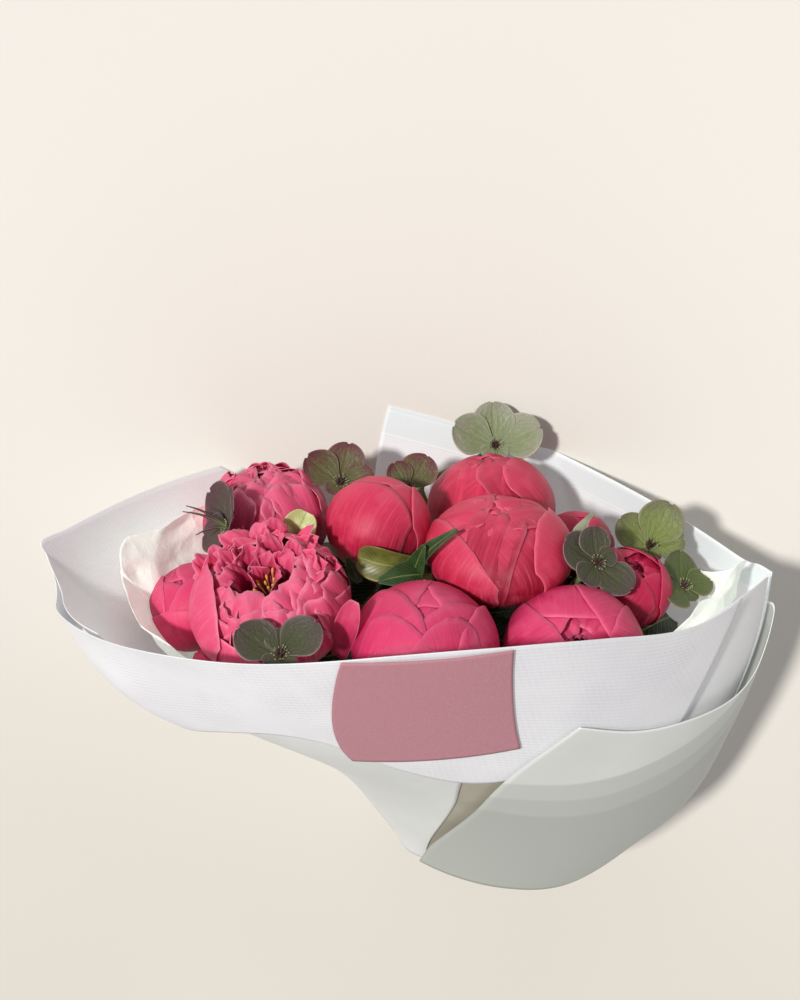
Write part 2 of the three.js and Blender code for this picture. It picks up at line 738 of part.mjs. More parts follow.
// Twine wound round the hexagon of stems, turn beside turn, with a knot on its front.
function tie() {
  const centre = bundleAt(TIE_HEIGHT);
  const apothem = 2 * STEM_PITCH * 0.866 + STEM / 2 + 0.45;
  const steps = 12;
  const profileSteps = 2 * TWINE_TURNS;
  const points = [];
  for (let i = 0; i < steps; i += 1) {
    const angle = (2 * Math.PI * i) / steps;
    const turn = ((angle / DEG + 30) % 60) - 30;
    const reach = apothem / Math.cos(turn * DEG * 0.96);
    for (let j = 0; j <= profileSteps; j += 1) {
      const high = ((j / profileSteps) - 0.5) * TWINE_TURNS * TWINE;
      const bump = j % 2 ? 1 : 0.6;
      points.push([angle, reach + TWINE * bump, high]);
    }
    points.push([angle, reach, 0.5 * TWINE_TURNS * TWINE]);
    points.push([angle, reach, -0.5 * TWINE_TURNS * TWINE]);
  }
  const ring = profileSteps + 3;
  const index = [];
  for (let i = 0; i < steps; i += 1) {
    for (let j = 0; j < ring; j += 1) {
      const [a, b] = [i * ring + j, i * ring + ((j + 1) % ring)];
      const [c, d] = [((i + 1) % steps) * ring + ((j + 1) % ring), ((i + 1) % steps) * ring + j];
      index.push(a, b, c, a, c, d);
    }
  }
  const lean = new THREE.Vector3(1, 0, 0);
  const placed = points.map(([angle, reach, high]) => {
    const point = new THREE.Vector3(reach * Math.sin(angle), reach * Math.cos(angle), high);
    return point.applyAxisAngle(lean, -BACK_LEAN).add(centre);
  });
  const knot = new THREE.SphereGeometry(3.4, 8, 6);
  knot.scale(1.3, 0.8, 1);
  knot.translate(centre.x, centre.y - apothem / Math.cos(BACK_LEAN) - TWINE - 0.6, centre.z);
  return named('tie', fuse([meshOf(placed, index), knot]), TWINE_FIBRE);
}

// ---------------------------------------------------------------- the bouquet

const bouquet = new THREE.Group();
const sideFlower = HELLEBORES.length - 1;
const stemmed = HELLEBORES.slice(0, sideFlower);
const paths = stemPaths([...PEONIES, ...stemmed]);

PEONIES.forEach((bloom, k) => {
  bouquet.add(peony(bloom, k + 1));
  bouquet.add(peonyStem(bloom, k + 1, paths[k]));
});
HELLEBORES.forEach((flower, k) => {
  bouquet.add(hellebore(flower, k + 1));
});
stemmed.forEach((flower, k) => {
  const branches = k === stemmed.length - 1 ? [HELLEBORES[sideFlower]] : [];
  bouquet.add(helleboreStem(k + 1, paths[PEONIES.length + k], branches));
});
bouquet.add(
  tie(),
  leftTissue(),
  rightTissue(),
  innerSheet(),
  backLeftSheet(),
  backRightSheet(),
  frontLeftSheet(),
  collarSheet(),
  outerSheet(),
  card(),
);

// Laid on its back: the leaning back of the wrap turns level, and comes down onto z = 0.
bouquet.rotation.x = BACK_LEAN - 90 * DEG;
const laid = new THREE.Group();
laid.add(bouquet);
laid.rotation.z = 180 * DEG;
const restHeight = (BACK_DEPTH + LAYER.backRight + PAPER - Math.tan(BACK_LEAN) * FOOT) * Math.cos(BACK_LEAN);
laid.position.set(REST_X, REST_Y, restHeight);

const part = new THREE.Group();
part.add(laid);

export default part;
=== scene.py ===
import bpy
import numpy as np
from mathutils import Matrix, Vector


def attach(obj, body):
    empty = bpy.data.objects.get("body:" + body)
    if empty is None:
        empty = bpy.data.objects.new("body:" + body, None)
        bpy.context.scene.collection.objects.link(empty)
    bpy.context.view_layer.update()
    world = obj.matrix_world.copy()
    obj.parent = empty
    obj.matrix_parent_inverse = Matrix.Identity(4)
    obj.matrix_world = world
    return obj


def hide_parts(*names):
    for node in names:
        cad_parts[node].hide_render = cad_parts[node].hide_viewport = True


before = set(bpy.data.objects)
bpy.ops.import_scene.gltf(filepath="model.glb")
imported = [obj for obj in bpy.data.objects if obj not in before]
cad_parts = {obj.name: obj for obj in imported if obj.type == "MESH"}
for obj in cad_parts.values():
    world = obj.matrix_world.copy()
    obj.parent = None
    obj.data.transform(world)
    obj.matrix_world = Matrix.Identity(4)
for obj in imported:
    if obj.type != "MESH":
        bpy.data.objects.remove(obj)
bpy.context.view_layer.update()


# ---------------------------------------------------------------- how the bouquet lies
# The bouquet is thought of standing up: x to the right, y to the back, z up its axis, in
# millimetres from the middle of the wrap's mouth. It is then laid on the flat back of its wrap.

MM = 0.001
BACK_LEAN = np.radians(17)
REST_X = 5
REST_Y = -101.5
REST_HEIGHT = 143.122


def lay(points):
    """Points of the standing bouquet, in millimetres: turned onto its back, in metres."""
    x, y, z = np.moveaxis(np.asarray(points, float), -1, 0)
    sine, cosine = np.sin(BACK_LEAN), np.cos(BACK_LEAN)
    across = REST_X - x
    deep = REST_Y - y * sine - z * cosine
    high = REST_HEIGHT - y * cosine + z * sine
    return np.stack([across, deep, high], -1) * MM


# ---------------------------------------------------------------- camera
# A camera in front of the standing bouquet and above it, which is above it when it lies down.

SENSOR = 36.0
LENS = 51.86
CAMERA_RISE = np.radians(36)
CAMERA_DISTANCE = 950
AIM_X = -3.3
AIM_UP = 39.6

towards = np.array([0, -np.cos(CAMERA_RISE), np.sin(CAMERA_RISE)])
upwards = np.array([0, np.sin(CAMERA_RISE), np.cos(CAMERA_RISE)])
eye = Vector(lay(CAMERA_DISTANCE * towards + [AIM_X, 0, 0]))
aim = Vector(lay(AIM_UP * upwards + [AIM_X, 0, 0]))
view_back = (eye - aim).normalized()
view_right = Vector((-1, 0, 0))
view_up = view_back.cross(view_right)

lens = bpy.data.cameras.new("camera")
lens.lens = LENS
lens.sensor_width = SENSOR
lens.clip_end = 20
camera = bpy.data.objects.new("camera", lens)
turn = Matrix((view_right, view_up, view_back)).transposed()
camera.matrix_world = Matrix.Translation(eye) @ turn.to_4x4()
bpy.context.scene.collection.objects.link(camera)
bpy.context.scene.camera = camera


# ---------------------------------------------------------------- light
# A high sun behind thin cloud, from the upper left of the picture, a wide fill from its lower
# right, and a pale sky all round.

def far_light(name, place, spread, strength, colour):
    """A light as far away as the sun, shining from a place on the middle of the bouquet, and as
    wide in the sky as spread degrees."""
    light = bpy.data.lights.new(name, "SUN")
    light.angle = np.radians(spread)
    light.energy = strength
    light.color = colour
    lamp = bpy.data.objects.new(name, light)
    lamp.rotation_euler = (-Vector(place)).to_track_quat("-Z", "Y").to_euler()
    bpy.context.scene.collection.objects.link(lamp)


SKY_COLOUR = (0.985, 0.99, 1.0, 1)
SKY_STRENGTH = 0.30

far_light("key_light", (0.50, -0.34, 1.0), 5, 2.85, (1.0, 0.985, 0.95))
far_light("fill_light", (-0.2, 0.9, 0.9), 60, 0.4, (0.95, 0.98, 1.0))

sky = bpy.data.worlds.new("sky")
sky.use_nodes = True
background = sky.node_tree.nodes["Background"]
background.inputs["Color"].default_value = SKY_COLOUR
background.inputs["Strength"].default_value = SKY_STRENGTH
bpy.context.scene.world = sky
bpy.context.scene.view_settings.view_transform = "Standard"


# ---------------------------------------------------------------- floor
# A plain, pale cream studio floor of matt paper, a little uneven in tone, with painted shade that
# darkens it towards the bottom of the picture.

class Value:
    """One output of a shader node. Sums, products and the like add Math nodes."""

    def __init__(self, tree, socket=None):
        self.tree = tree
        self.socket = socket

    def node(self, kind, settings, inputs, output=0):
        """Adds a node: first its settings, then its sockets' values or links."""
        made = self.tree.nodes.new("ShaderNode" + kind)
        for name, setting in settings.items():
            setattr(made, name, setting)
        for name, value in inputs.items():
            if isinstance(value, Value):
                self.tree.links.new(value.socket, made.inputs[name])
            else:
                made.inputs[name].default_value = value
        return Value(self.tree, made.outputs[output])

    def math(self, operation, first, second=0.0, clamp=False):
        settings = {"operation": operation, "use_clamp": clamp}
        return self.node("Math", settings, {0: first, 1: second})

    def __add__(self, other):
        return self.math("ADD", self, other)

    def __radd__(self, other):
        return self.math("ADD", other, self)

    def __sub__(self, other):
        return self.math("SUBTRACT", self, other)

    def __rsub__(self, other):
        return self.math("SUBTRACT", other, self)

    def __mul__(self, other):
        return self.math("MULTIPLY", self, other)

    def __rmul__(self, other):
        return self.math("MULTIPLY", other, self)

    def __pow__(self, other):
        return self.math("POWER", self, other)

    def clamped(self):
        return self.math("ADD", self, 0.0, clamp=True)

    def absolute(self):
        return self.math("ABSOLUTE", self)

    def sine(self):
        return self.math("SINE", self)

    def between(self, low, high):
        """0 below low, 1 above high and a smooth step between them."""
        settings = {"interpolation_type": "SMOOTHSTEP"}
        return self.node("MapRange", settings, {"Value": self, "From Min": low, "From Max": high})

    def blend(self, first, second):
        """The first colour where this value is 0 and the second where it is 1."""
        colours = [c if isinstance(c, Value) else (*c, 1) for c in (first, second)]
        sockets = {"Factor": self, 6: colours[0], 7: colours[1]}
        return self.node("Mix", {"data_type": "RGBA"}, sockets, output=2)

    def noise(self, vector, scale, detail=2.0, roughness=0.5):
        sockets = {"Vector": vector, "Scale": scale, "Detail": detail, "Roughness": roughness}
        return self.node("TexNoise", {}, sockets)

    def stretch(self, vector, factors):
        """A vector with each of its parts multiplied by a factor of its own."""
        return self.node("VectorMath", {"operation": "MULTIPLY"}, {0: vector, 1: factors})

    def bump(self, height, distance, strength=1.0):
        return self.node("Bump", {}, {"Height": height, "Distance": distance, "Strength": strength})

    def places(self):
        """Object coordinates."""
        return self.node("TexCoord", {}, {}, output=3)

    def sheet_places(self):
        """The piece's own UV map."""
        return self.node("TexCoord", {}, {}, output=2)

    def parts(self, vector):
        """A vector's first two parts."""
        first = self.node("SeparateXYZ", {}, {0: vector})
        return first, Value(self.tree, first.socket.node.outputs[1])

    def along(self):
        """How far along its sheet a point is, on the piece's own UV map."""
        return self.parts(self.sheet_places())[1]


def finish(name, constants, paint):
    """A material: constants are set on the shader's sockets, paint gives those that vary."""
    material = bpy.data.materials.new(name)
    material.use_nodes = True
    tree = material.node_tree
    shader = tree.nodes["Principled BSDF"]
    for socket, value in constants.items():
        shader.inputs[socket].default_value = value
    for socket, value in paint(Value(tree)).items():
        tree.links.new(value.socket, shader.inputs[socket])
    return material


FLOOR_SIDE = 6.0
# The floor's cream, in painted shade towards the bottom of the picture, and in its paler patches.
FAR_CREAM = (0.79, 0.755, 0.705)
SHADED_CREAM = (0.66, 0.62, 0.56)
PALE_PATCHES = (0.82, 0.79, 0.745)

half = FLOOR_SIDE / 2
floor_corners = [(-half, -half, 0), (half, -half, 0), (half, half, 0), (-half, half, 0)]
floor_mesh = bpy.data.meshes.new("floor")
floor_mesh.from_pydata(floor_corners, [], [(0, 1, 2, 3)])
floor = bpy.data.objects.new("floor", floor_mesh)
bpy.context.scene.collection.objects.link(floor)


def floor_paint(value):
    tone = value.noise(value.places(), 1.6, 2.0)
    # Painted shade: the floor darkens towards the bottom of the picture.
    near = value.parts(value.places())[1].between(-0.35, 0.33)
    colour = near.blend(FAR_CREAM, SHADED_CREAM)
    return {"Base Color": (tone.between(0.3, 0.7) * 0.25).blend(colour, PALE_PATCHES)}


floor_mesh.materials.append(finish("pale_floor", {"Roughness": 0.85}, floor_paint))


# ---------------------------------------------------------------- peony blooms
# Twelve garden peonies. In a closed one, broad satin petals wrap over one another round a tight
# crown of small crinkled tips; the two at the left are opening, and are full of ruffled petals.

# Each bloom: its middle, its radius, the way that it faces, how flat it is, its tint, its heart.
PEONIES = [
    dict(zip(("at", "radius", "faces", "squash", "tint", "heart"), bloom)) for bloom in (
        ((-96, 62, -10), 43, (-0.1, 0.15, 1), 0.8, "pink", "open"),
        ((-84, -38, -6), 49, (-0.1, -0.3, 1), 0.74, "pink", "open"),
        ((-143, 4, -41), 32, (-0.45, -0.1, 1), 0.85, "rose", "shut"),
        ((-18, 28, 9), 34.7, (0.1, 0.1, 1), 0.95, "coral", "shut"),
        ((61, 91, -19), 44, (0, 0.2, 1), 0.8, "coral", "frilled"),
        ((62, 5, 5), 47.5, (0.02, -0.02, 1), 0.62, "coral", "frilled"),
        ((12, -67, -18), 45.5, (0.05, -0.12, 1), 0.84, "rose", "shut"),
        ((107.5, -58.2, -31), 45.5, (0.05, -0.6, 1), 0.8, "rose", "star"),
        ((150, 5, -26), 29, (0.3, -0.15, 1), 0.85, "crimson", "star"),
        ((120, 50, -22), 25, (0.15, 0.1, 1), 0.9, "crimson", "shut"),
        ((165, -34, -64), 21, (0.35, -0.2, 1), 0.9, "crimson", "shut"),
        ((-118, -46, -54), 22, (-0.35, -0.25, 1), 0.9, "rose", "shut"),
    )
]
GOLDEN_ANGLE = 137.5
ROOT_FALL = 152
EDGE_DROP = 42
FOLD_DEPTH = 0.005
RIM_LIFT = 0.012
PETAL_THICKNESS = 0.3 * MM
PETAL_ROWS = 26
PETAL_COLUMNS = 31

# Each broad petal: the side it stands on (270 is the front), how far from the pole its tip stops,
# its half width, all in degrees, how far its edge runs down to one side, and its size, which
# says whether it lies over or under its neighbours.
COMMON_PETALS = [
    (300, 30, 50, 4, 1.03), (215, 14, 58, -5, 1.015), (330, 12, 56, 5, 1.0), (90, -5, 64, 0, 0.985),
    (150, 8, 52, 0, 0.97), (30, 6, 52, 0, 0.975), (265, -6, 46, 3, 0.955),
]
BROAD_PETALS = {
    1: [
        (205, 20, 54, -4, 1.01), (285, 24, 42, 6, 1.02), (335, 16, 52, 4, 1.0), (30, 12, 54, 0, 0.985),
        (92, 6, 58, 0, 0.97), (150, 12, 54, 0, 0.99), (255, 30, 26, 0, 1.045), (300, 8, 30, 6, 1.0),
    ],
    2: [
        (186, 38, 46, -8, 1.11), (204, 84, 48, 0, 1.09), (236, 62, 44, 4, 1.09), (285, 70, 44, -4, 1.0),
        (325, 56, 46, 5, 1.02),
        (20, 30, 42, 0, 0.99), (60, 38, 46, 0, 1.01), (105, 34, 48, 0, 0.985), (150, 42, 48, 0, 1.01),
    ],
    3: [
        (262, 44, 58, 5, 1.035), (318, 20, 52, 8, 1.02), (236, 5, 56, -3, 1.0), (190, 14, 52, 0, 1.01),
        (90, -5, 64, 0, 0.98), (150, 8, 50, 0, 0.97), (20, 6, 54, 0, 0.99),
    ],
    4: [
        (236, 7, 62, -7, 1.015), (322, 13, 58, 6, 1.0), (0, 34, 44, 6, 1.03), (90, -6, 64, 0, 0.985),
        (168, 9, 52, 0, 0.97), (30, 5, 54, 0, 0.975), (278, -4, 44, 0, 0.955),
    ],
    5: [
        (205, 8, 62, -5, 1.015), (306, 4, 30, 6, 1.05), (342, 14, 34, 4, 1.075), (282, 15, 44, 0, 0.985),
        (90, -5, 64, 0, 0.97), (150, 4, 52, 0, 0.99), (30, 8, 48, 0, 1.0), (255, -3, 46, 0, 0.955),
    ],
    6: [
        (316, 9, 52, -6, 1.01), (214, 40, 52, 9, 1.03), (352, 30, 50, 8, 1.045), (262, 12, 42, 0, 0.98),
        (222, 3, 50, 3, 0.995), (90, -5, 64, 0, 0.965), (30, 6, 50, 0, 0.985), (158, 10, 55, 0, 1.005),
        (290, -8, 40, 0, 0.95),
    ],
    7: [
        (212, 11, 60, 7, 1.015), (304, 9, 56, -6, 1.0), (340, 34, 50, 4, 1.04), (262, 40, 46, 3, 1.035),
        (238, 24, 34, 10, 1.03), (288, 21, 30, -10, 1.045),
        (90, -5, 64, 0, 0.97), (150, 8, 52, 0, 0.985), (28, 8, 52, 0, 0.98), (250, -4, 42, 0, 0.955),
    ],
    8: [
        (205, 16, 60, -4, 1.01), (305, 21, 46, 8, 1.03), (345, 20, 50, 4, 1.015), (30, 17, 52, 0, 1.0),
        (90, 14, 60, 0, 0.985), (145, 15, 52, 0, 0.97), (258, 18, 44, -4, 1.0),
    ],
    9: [
        (235, 24, 56, -5, 1.02), (310, 20, 54, 6, 1.0), (0, 26, 50, 0, 1.03), (60, 20, 52, 0, 0.985),
        (130, 19, 56, 0, 0.97), (180, 24, 50, 0, 1.01),
    ],
}

# What fills the two open blooms: frilled petals that stand up, and rows of petals folded in over
# them, with how far from the pole each row stops, and its size.
OPENED = {
    1: (
        dict(count=7, widest=14, high=1.0, hollow=0.0, side=360),
        dict(rows=((30, 1.03), (16, 0.99), (5, 0.95)), each=5, start=20, turn=72, widths=(28, 42)),
    ),
    2: (
        dict(count=26, widest=39, high=1.03, hollow=0.3, side=175),
        dict(rows=((48, 1.0), (35, 0.97), (23, 0.93)), each=6, start=200, turn=30, widths=(22, 36)),
    ),
}


def stance(flower):
    """The turn that tilts a flower, facing +z in its own frame, to the way that it faces."""
    facing = Vector(flower["faces"]).normalized()
    return np.array(Vector((0, 0, 1)).rotation_difference(facing).to_matrix())


def stand(points, flower):
    """Points of a flower's own frame, in the bouquet's frame."""
    return points @ stance(flower).T + np.array(flower["at"])


def globe(radius, squash, azimuth, fall, spread):
    """Points of a flattened globe: fall degrees from its pole on the meridian at azimuth, then
    swung sideways by spread degrees."""
    a, f, s = np.radians(azimuth), np.radians(fall), np.radians(spread)
    x = np.cos(s) * np.sin(f) * np.cos(a) - np.sin(s) * np.sin(a)
    y = np.cos(s) * np.sin(f) * np.sin(a) + np.sin(s) * np.cos(a)
    z = np.cos(s) * np.cos(f) * squash
    return np.stack([x * radius, y * radius, z * radius], -1)


def grid(rows, columns):
    """The grid of a surface: u from -1 to 1 across it, and v from 0 to 1 along it."""
    v, u = np.meshgrid(np.linspace(0, 1, rows), np.linspace(-1, 1, columns), indexing="ij")
    return u, v


def smooth(low, high, value):
    """A smooth step from 0 at low to 1 at high."""
    share = np.clip((value - low) / (high - low), 0, 1)
    return share * share * (3 - 2 * share)


def petal(bloom, chance, azimuth, tip, width, skew, size, frill=0.8, ruffle=0.0, curl=0.0):
    """A petal is a patch of the bloom's globe, narrow at its root and broad above, with a round
    free edge that frill makes uneven and a notch divides. The edge stands a little off the petal
    under it, ruffle waves it in and out, and curl draws the tip in to the bloom's axis."""
    u, v = grid(PETAL_ROWS, PETAL_COLUMNS)
    phase = chance.uniform(0, 2 * np.pi, 6)
    notch = chance.uniform(-0.5, 0.5)
    waves = np.sin(4 * u + phase[0]) + 0.6 * np.sin(9 * u + phase[1]) + 0.35 * np.sin(21 * u + phase[2])
    nick = 1.6 * frill * np.exp(-((u - notch) / 0.07) ** 2)
    drop = min(EDGE_DROP, width) * (1 - np.sqrt(1 - 0.92 * u * u))
    edge = tip + drop + skew * u + frill * waves + nick
    fall = ROOT_FALL + (edge - ROOT_FALL) * v
    sweep = np.sin(np.minimum(1, v / 0.6) * np.pi / 2)
    spread = u * width * (0.4 + 0.6 * sweep)
    folds = np.sin(3 * u + phase[3]) + 0.5 * np.sin(7 * u + 2 * v + phase[4])
    rim = np.maximum(np.abs(u) ** 10 * sweep, v ** 14)
    wave = ruffle * np.sin(8 * u + 3 * v + phase[5]) * v ** 3
    radius = bloom["radius"] * (size + FOLD_DEPTH * folds * v + RIM_LIFT * rim)
    radius = (radius + wave) * (1 - curl * smooth(0.8, 1.0, v))
    return globe(radius, bloom["squash"], azimuth, fall, spread)


def crown(bloom, chance):
    """What closes a bloom at its pole: in a shut one a few small tips crossed over one another, in
    a frilled one more of them and looser, and in a starred one curled folds round a dark hollow."""
    petals = []
    if bloom["heart"] == "star":
        for k in range(9):
            azimuth = 40 * k + chance.uniform(-12, 12)
            size = 0.935 - 0.008 * k
            tip = 7 + 2 * (k % 3)
            petals.append(petal(bloom, chance, azimuth, tip, 26, 0, size, frill=2.2, ruffle=1.4, curl=0.16))
        for k in range(6):
            size = 0.85 - 0.01 * k
            petals.append(petal(bloom, chance, 60 * k + 25, 3, 24, 0, size, frill=2.2, ruffle=1.2, curl=0.25))
        return petals
    loose = bloom["heart"] == "frilled"
    for k in range(9 if loose else 5):
        azimuth = k * GOLDEN_ANGLE + 250
        tip = chance.uniform(-9, 6) + 3 * loose
        skew = chance.uniform(-6, 6)
        size = 0.945 - 0.012 * k + 0.07 * loose
        frill, ruffle = 1.6 + loose, 0.7 + 1.6 * loose
        petals.append(petal(bloom, chance, azimuth, tip, 24, skew, size, frill, ruffle))
    petals.append(petal(bloom, chance, 90, -40, 75, 0, 0.88))
    return petals


def frilled_petal(bloom, chance, azimuth, base, level, width):
    """A narrow petal that stands up inside an open bloom, at a distance base from its axis, to a
    share level of the height of the bloom's globe there. It is crumpled by three sets of waves
    that grow up it, is turned a little out of line, bends over at its top, and is torn there."""
    u, v = grid(24, 27)
    phase = chance.uniform(0, 2 * np.pi, 6)
    crumple = np.sin(3 * u + 4 * v + phase[0]) + 0.6 * np.sin(7 * u - 6 * v + phase[1])
    crumple = crumple + 0.25 * np.sin(17 * u + 11 * v + phase[2])
    top = bloom["squash"] * np.sqrt(bloom["radius"] ** 2 - base ** 2) * level
    torn = np.sin(4 * u + phase[3]) + 0.6 * np.sin(9 * u + phase[4]) + 0.25 * np.sin(23 * u + phase[5])
    height = top - 30 * (1 - v) ** 1.3 - 0.24 * width * np.abs(u) ** 3 * v + 0.7 * torn * v ** 4
    lean = (base / bloom["radius"]) * 11 * v ** 2 + chance.uniform(-2, 7) * v ** 4
    out = lean + 2.3 * crumple * v ** 1.3 - 0.25 * width * u * u
    side = u * width / 2 * (0.45 + 0.55 * np.sin(np.minimum(1, v / 0.7) * np.pi / 2))
    turned = np.radians(azimuth)
    facing = turned + np.radians(chance.uniform(-38, 38))
    x = base * np.cos(turned) + out * np.cos(facing) - side * np.sin(facing)
    y = base * np.sin(turned) + out * np.sin(facing) + side * np.cos(facing)
    return np.stack([x, y, height], -1)


def frills(bloom, chance, count, widest, high, hollow, side):
    """Frilled petals from the middle of a bloom to near its guard petals, from the right round
    to side degrees. Where the middle is hollow, the innermost stand lower."""
    petals = []
    for k in range(count):
        share = (k + 0.5) / count
        base = widest * np.sqrt(share)
        azimuth = k * GOLDEN_ANGLE % side + chance.uniform(-15, 15)
        level = high * (1 - hollow * (1 - smooth(0.0, 0.30, share))) + chance.uniform(-0.07, 0.05)
        petals.append(frilled_petal(bloom, chance, azimuth, base, level, chance.uniform(13, 31)))
    return petals


def folded_in(bloom, chance, rows, each, start, turn, widths):
    """Rows of small ruffled petals, each turn degrees round from the last, that fold in from one
    side of an open bloom over its hollow middle, with their edges turned out."""
    petals = []
    for row, (tip, size) in enumerate(rows):
        for k in range(each):
            azimuth = start + turn * (k + 0.5 * (row % 2)) + chance.uniform(-9, 9)
            edge = tip + chance.uniform(-5, 6)
            width, skew = chance.uniform(*widths), chance.uniform(-8, 8)
            lie = size + chance.uniform(-0.02, 0.02)
            petals.append(petal(
                bloom, chance, azimuth, edge, width, skew, lie, frill=1.3, ruffle=2.3, curl=-0.05
            ))
    return petals


def surfaces(name, sheets, tones=None, flip=False, lengths=False):
    """Joins grids of points, in the bouquet's frame, into one smooth mesh. Its UV map runs
    across and along each grid, from 0 to 1, or in metres where lengths is true, and its tone
    attribute holds a number for each grid, or 0."""
    points, quads, spots, shades = [], [], [], []
    start = 0
    for sheet, tone in zip(sheets, np.zeros(len(sheets)) if tones is None else tones):
        rows, columns = sheet.shape[:2]
        placed = lay(sheet)
        index = start + np.arange(rows * columns).reshape(rows, columns)
        corners = [index[:-1, :-1], index[:-1, 1:], index[1:, 1:], index[1:, :-1]]
        quads.append(np.stack(corners[::-1] if flip else corners, -1).reshape(-1, 4))
        if lengths:
            steps = np.diff(placed, axis=1, prepend=placed[:, :1])
            across = np.linalg.norm(steps, axis=-1).cumsum(1)
            drops = np.diff(placed[::-1], axis=0, prepend=placed[-1:])
            down = np.linalg.norm(drops, axis=-1).cumsum(0)[::-1]
            spot = np.stack([across - across[:, columns // 2:columns // 2 + 1], down], -1)
        else:
            u, v = grid(rows, columns)
            spot = np.stack([(u + 1) / 2, v], -1)
        points.append(placed.reshape(-1, 3))
        spots.append(spot.reshape(-1, 2))
        shades.append(np.full(rows * columns, tone))
        start += rows * columns
    mesh = bpy.data.meshes.new(name)
    quads = np.concatenate(quads)
    mesh.from_pydata(np.concatenate(points).tolist(), [], quads.tolist())
    layer = mesh.uv_layers.new(name="UVMap")
    layer.data.foreach_set("uv", np.concatenate(spots)[quads.ravel()].ravel().astype(np.float32))
    tone = mesh.attributes.new("tone", "FLOAT", "POINT")
    tone.data.foreach_set("value", np.concatenate(shades).astype(np.float32))
    mesh.polygons.foreach_set("use_smooth", np.ones(len(mesh.polygons), bool))
    piece = bpy.data.objects.new(name, mesh)
    bpy.context.scene.collection.objects.link(piece)
    return piece


def thicken(piece, thickness, offset=-1):
    """Gives a sheet its thickness: behind its surface, or in front of it with an offset of 1."""
    solid = piece.modifiers.new("thickness", "SOLIDIFY")
    solid.thickness = thickness
    solid.offset = offset
    solid.use_quality_normals = True


def settle(piece, material, slot, *nodes):
    """Gives a piece its material, and lets it stand for its nodes. Its slot is not used."""
    piece.data.materials.append(material)
    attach(piece, "root")
    if nodes:
        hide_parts(*nodes)


def petal_paint(deep, middle, pale):
    """Satin petals: deeper towards the root and the sides and paler towards the tip, partly their own colour
    and partly painted shade and light, fine streaks along them, and a pale thin rim of painted light shining
    through the edge.
    """

    def paint(value):
        uv = value.sheet_places()
        across, up = value.parts(uv)
        tone = value.node("Attribute", {"attribute_name": "tone"}, {}, output=2)
        streaks = value.noise(value.stretch(uv, (46, 2.2, 1)), 1.0, 5.0, 0.65)
        clouds = value.noise(value.places(), 60, 2.0)
        side = (across - 0.5).absolute() * 2
        rim = (side ** 24 + up ** 60).clamped()
        # Painted shade over the petal's own colour: deeper towards the root, and towards the sides where a
        # petal tucks under its neighbours.
        body = up * 0.75 + streaks * 0.6 + clouds * 0.4 + tone * 0.2 - side ** 4 * 0.35
        body = body.between(0.40, 1.3)
        colour = body.blend(deep, middle)
        # Paler towards the tip, partly the petal's own colour and partly painted light. The pale rim is
        # painted light shining through the thin edge.
        light = up ** 4 * 0.22 + streaks.between(0.50, 0.76) * 0.30 + clouds.between(0.5, 0.7) * 0.15
        colour = (light + rim * 0.5).clamped().blend(colour, pale)
        ridges = value.noise(value.stretch(uv, (80, 3, 1)), 1.0, 3.0)
        return {
            "Base Color": colour,
            "Roughness": 0.38 + 0.2 * streaks,
            "Normal": value.bump(ridges, 0.5 * MM, 0.6),
        }

    return paint


PETAL_FINISH = {
    "Specular IOR Level": 0.3,
    "Subsurface Weight": 0.1,
    "Subsurface Scale": 0.003,
    "Subsurface Radius": (1.0, 0.25, 0.3),
}
# Each tint: deep, middle and pale. The deep colour also paints the shade at roots and sides, and the pale one
# the light at tips and rims.
TINTS = {
    "coral": ((0.20, 0.0015, 0.014), (0.66, 0.020, 0.078), (0.85, 0.17, 0.27)),
    "rose": ((0.26, 0.003, 0.030), (0.68, 0.027, 0.125), (0.82, 0.15, 0.29)),
    "crimson": ((0.13, 0.001, 0.012), (0.50, 0.008, 0.058), (0.70, 0.07, 0.17)),
    "pink": ((0.36, 0.004, 0.050), (0.76, 0.046, 0.155), (0.90, 0.30, 0.44)),
}
petal_finishes = {}
for tint, colours in TINTS.items():
    petal_finishes[tint] = finish(f"{tint}_petals", PETAL_FINISH, petal_paint(*colours))

chance = np.random.default_rng(11)
for number, bloom in enumerate(PEONIES, 1):
    petals = [petal(bloom, chance, *broad) for broad in BROAD_PETALS.get(number, COMMON_PETALS)]
    if number in OPENED:
        standing, folded = OPENED[number]
        petals += frills(bloom, chance, **standing)
        petals += folded_in(bloom, chance, **folded)
    else:
        petals += crown(bloom, chance)
    tones = chance.uniform(-1, 1, len(petals))
    piece = surfaces(f"bloom_{number}", [stand(points, bloom) for points in petals], tones)
    thicken(piece, PETAL_THICKNESS)
    settle(piece, petal_finishes[bloom["tint"]], "petals", f"peony_{number}")


# ---------------------------------------------------------------- stamens of the open bloom
# In the hollow middle of the widest bloom stands a tuft of golden stamens on thin stalks.

STAMENS = 14
TUFT_SHARE = 0.16


def tube(path, radii, sides=12):
    """A round tube along a path of points: rings square to the path, of the given radii, drawn
    to a point at both ends."""
    path = np.asarray(path, float)
    along = np.gradient(path, axis=0)
    along /= np.linalg.norm(along, axis=1, keepdims=True)
    hint = np.array([0.36, 0.48, 0.8]) if abs(along[0, 0]) > 0.9 else np.array([1.0, 0.0, 0.0])
    aside = np.cross(along, hint)
    aside /= np.linalg.norm(aside, axis=1, keepdims=True)
    beyond = np.cross(along, aside)
    angle = np.linspace(0, 2 * np.pi, sides + 1)[None, :, None]
    ring = np.cos(angle) * aside[:, None] + np.sin(angle) * beyond[:, None]
    rings = path[:, None] + ring * np.asarray(radii, float)[:, None, None]
    ends = [np.repeat(path[k][None, None], sides + 1, 1) for k in (0, -1)]
    return np.concatenate([ends[0], rings, ends[1]])


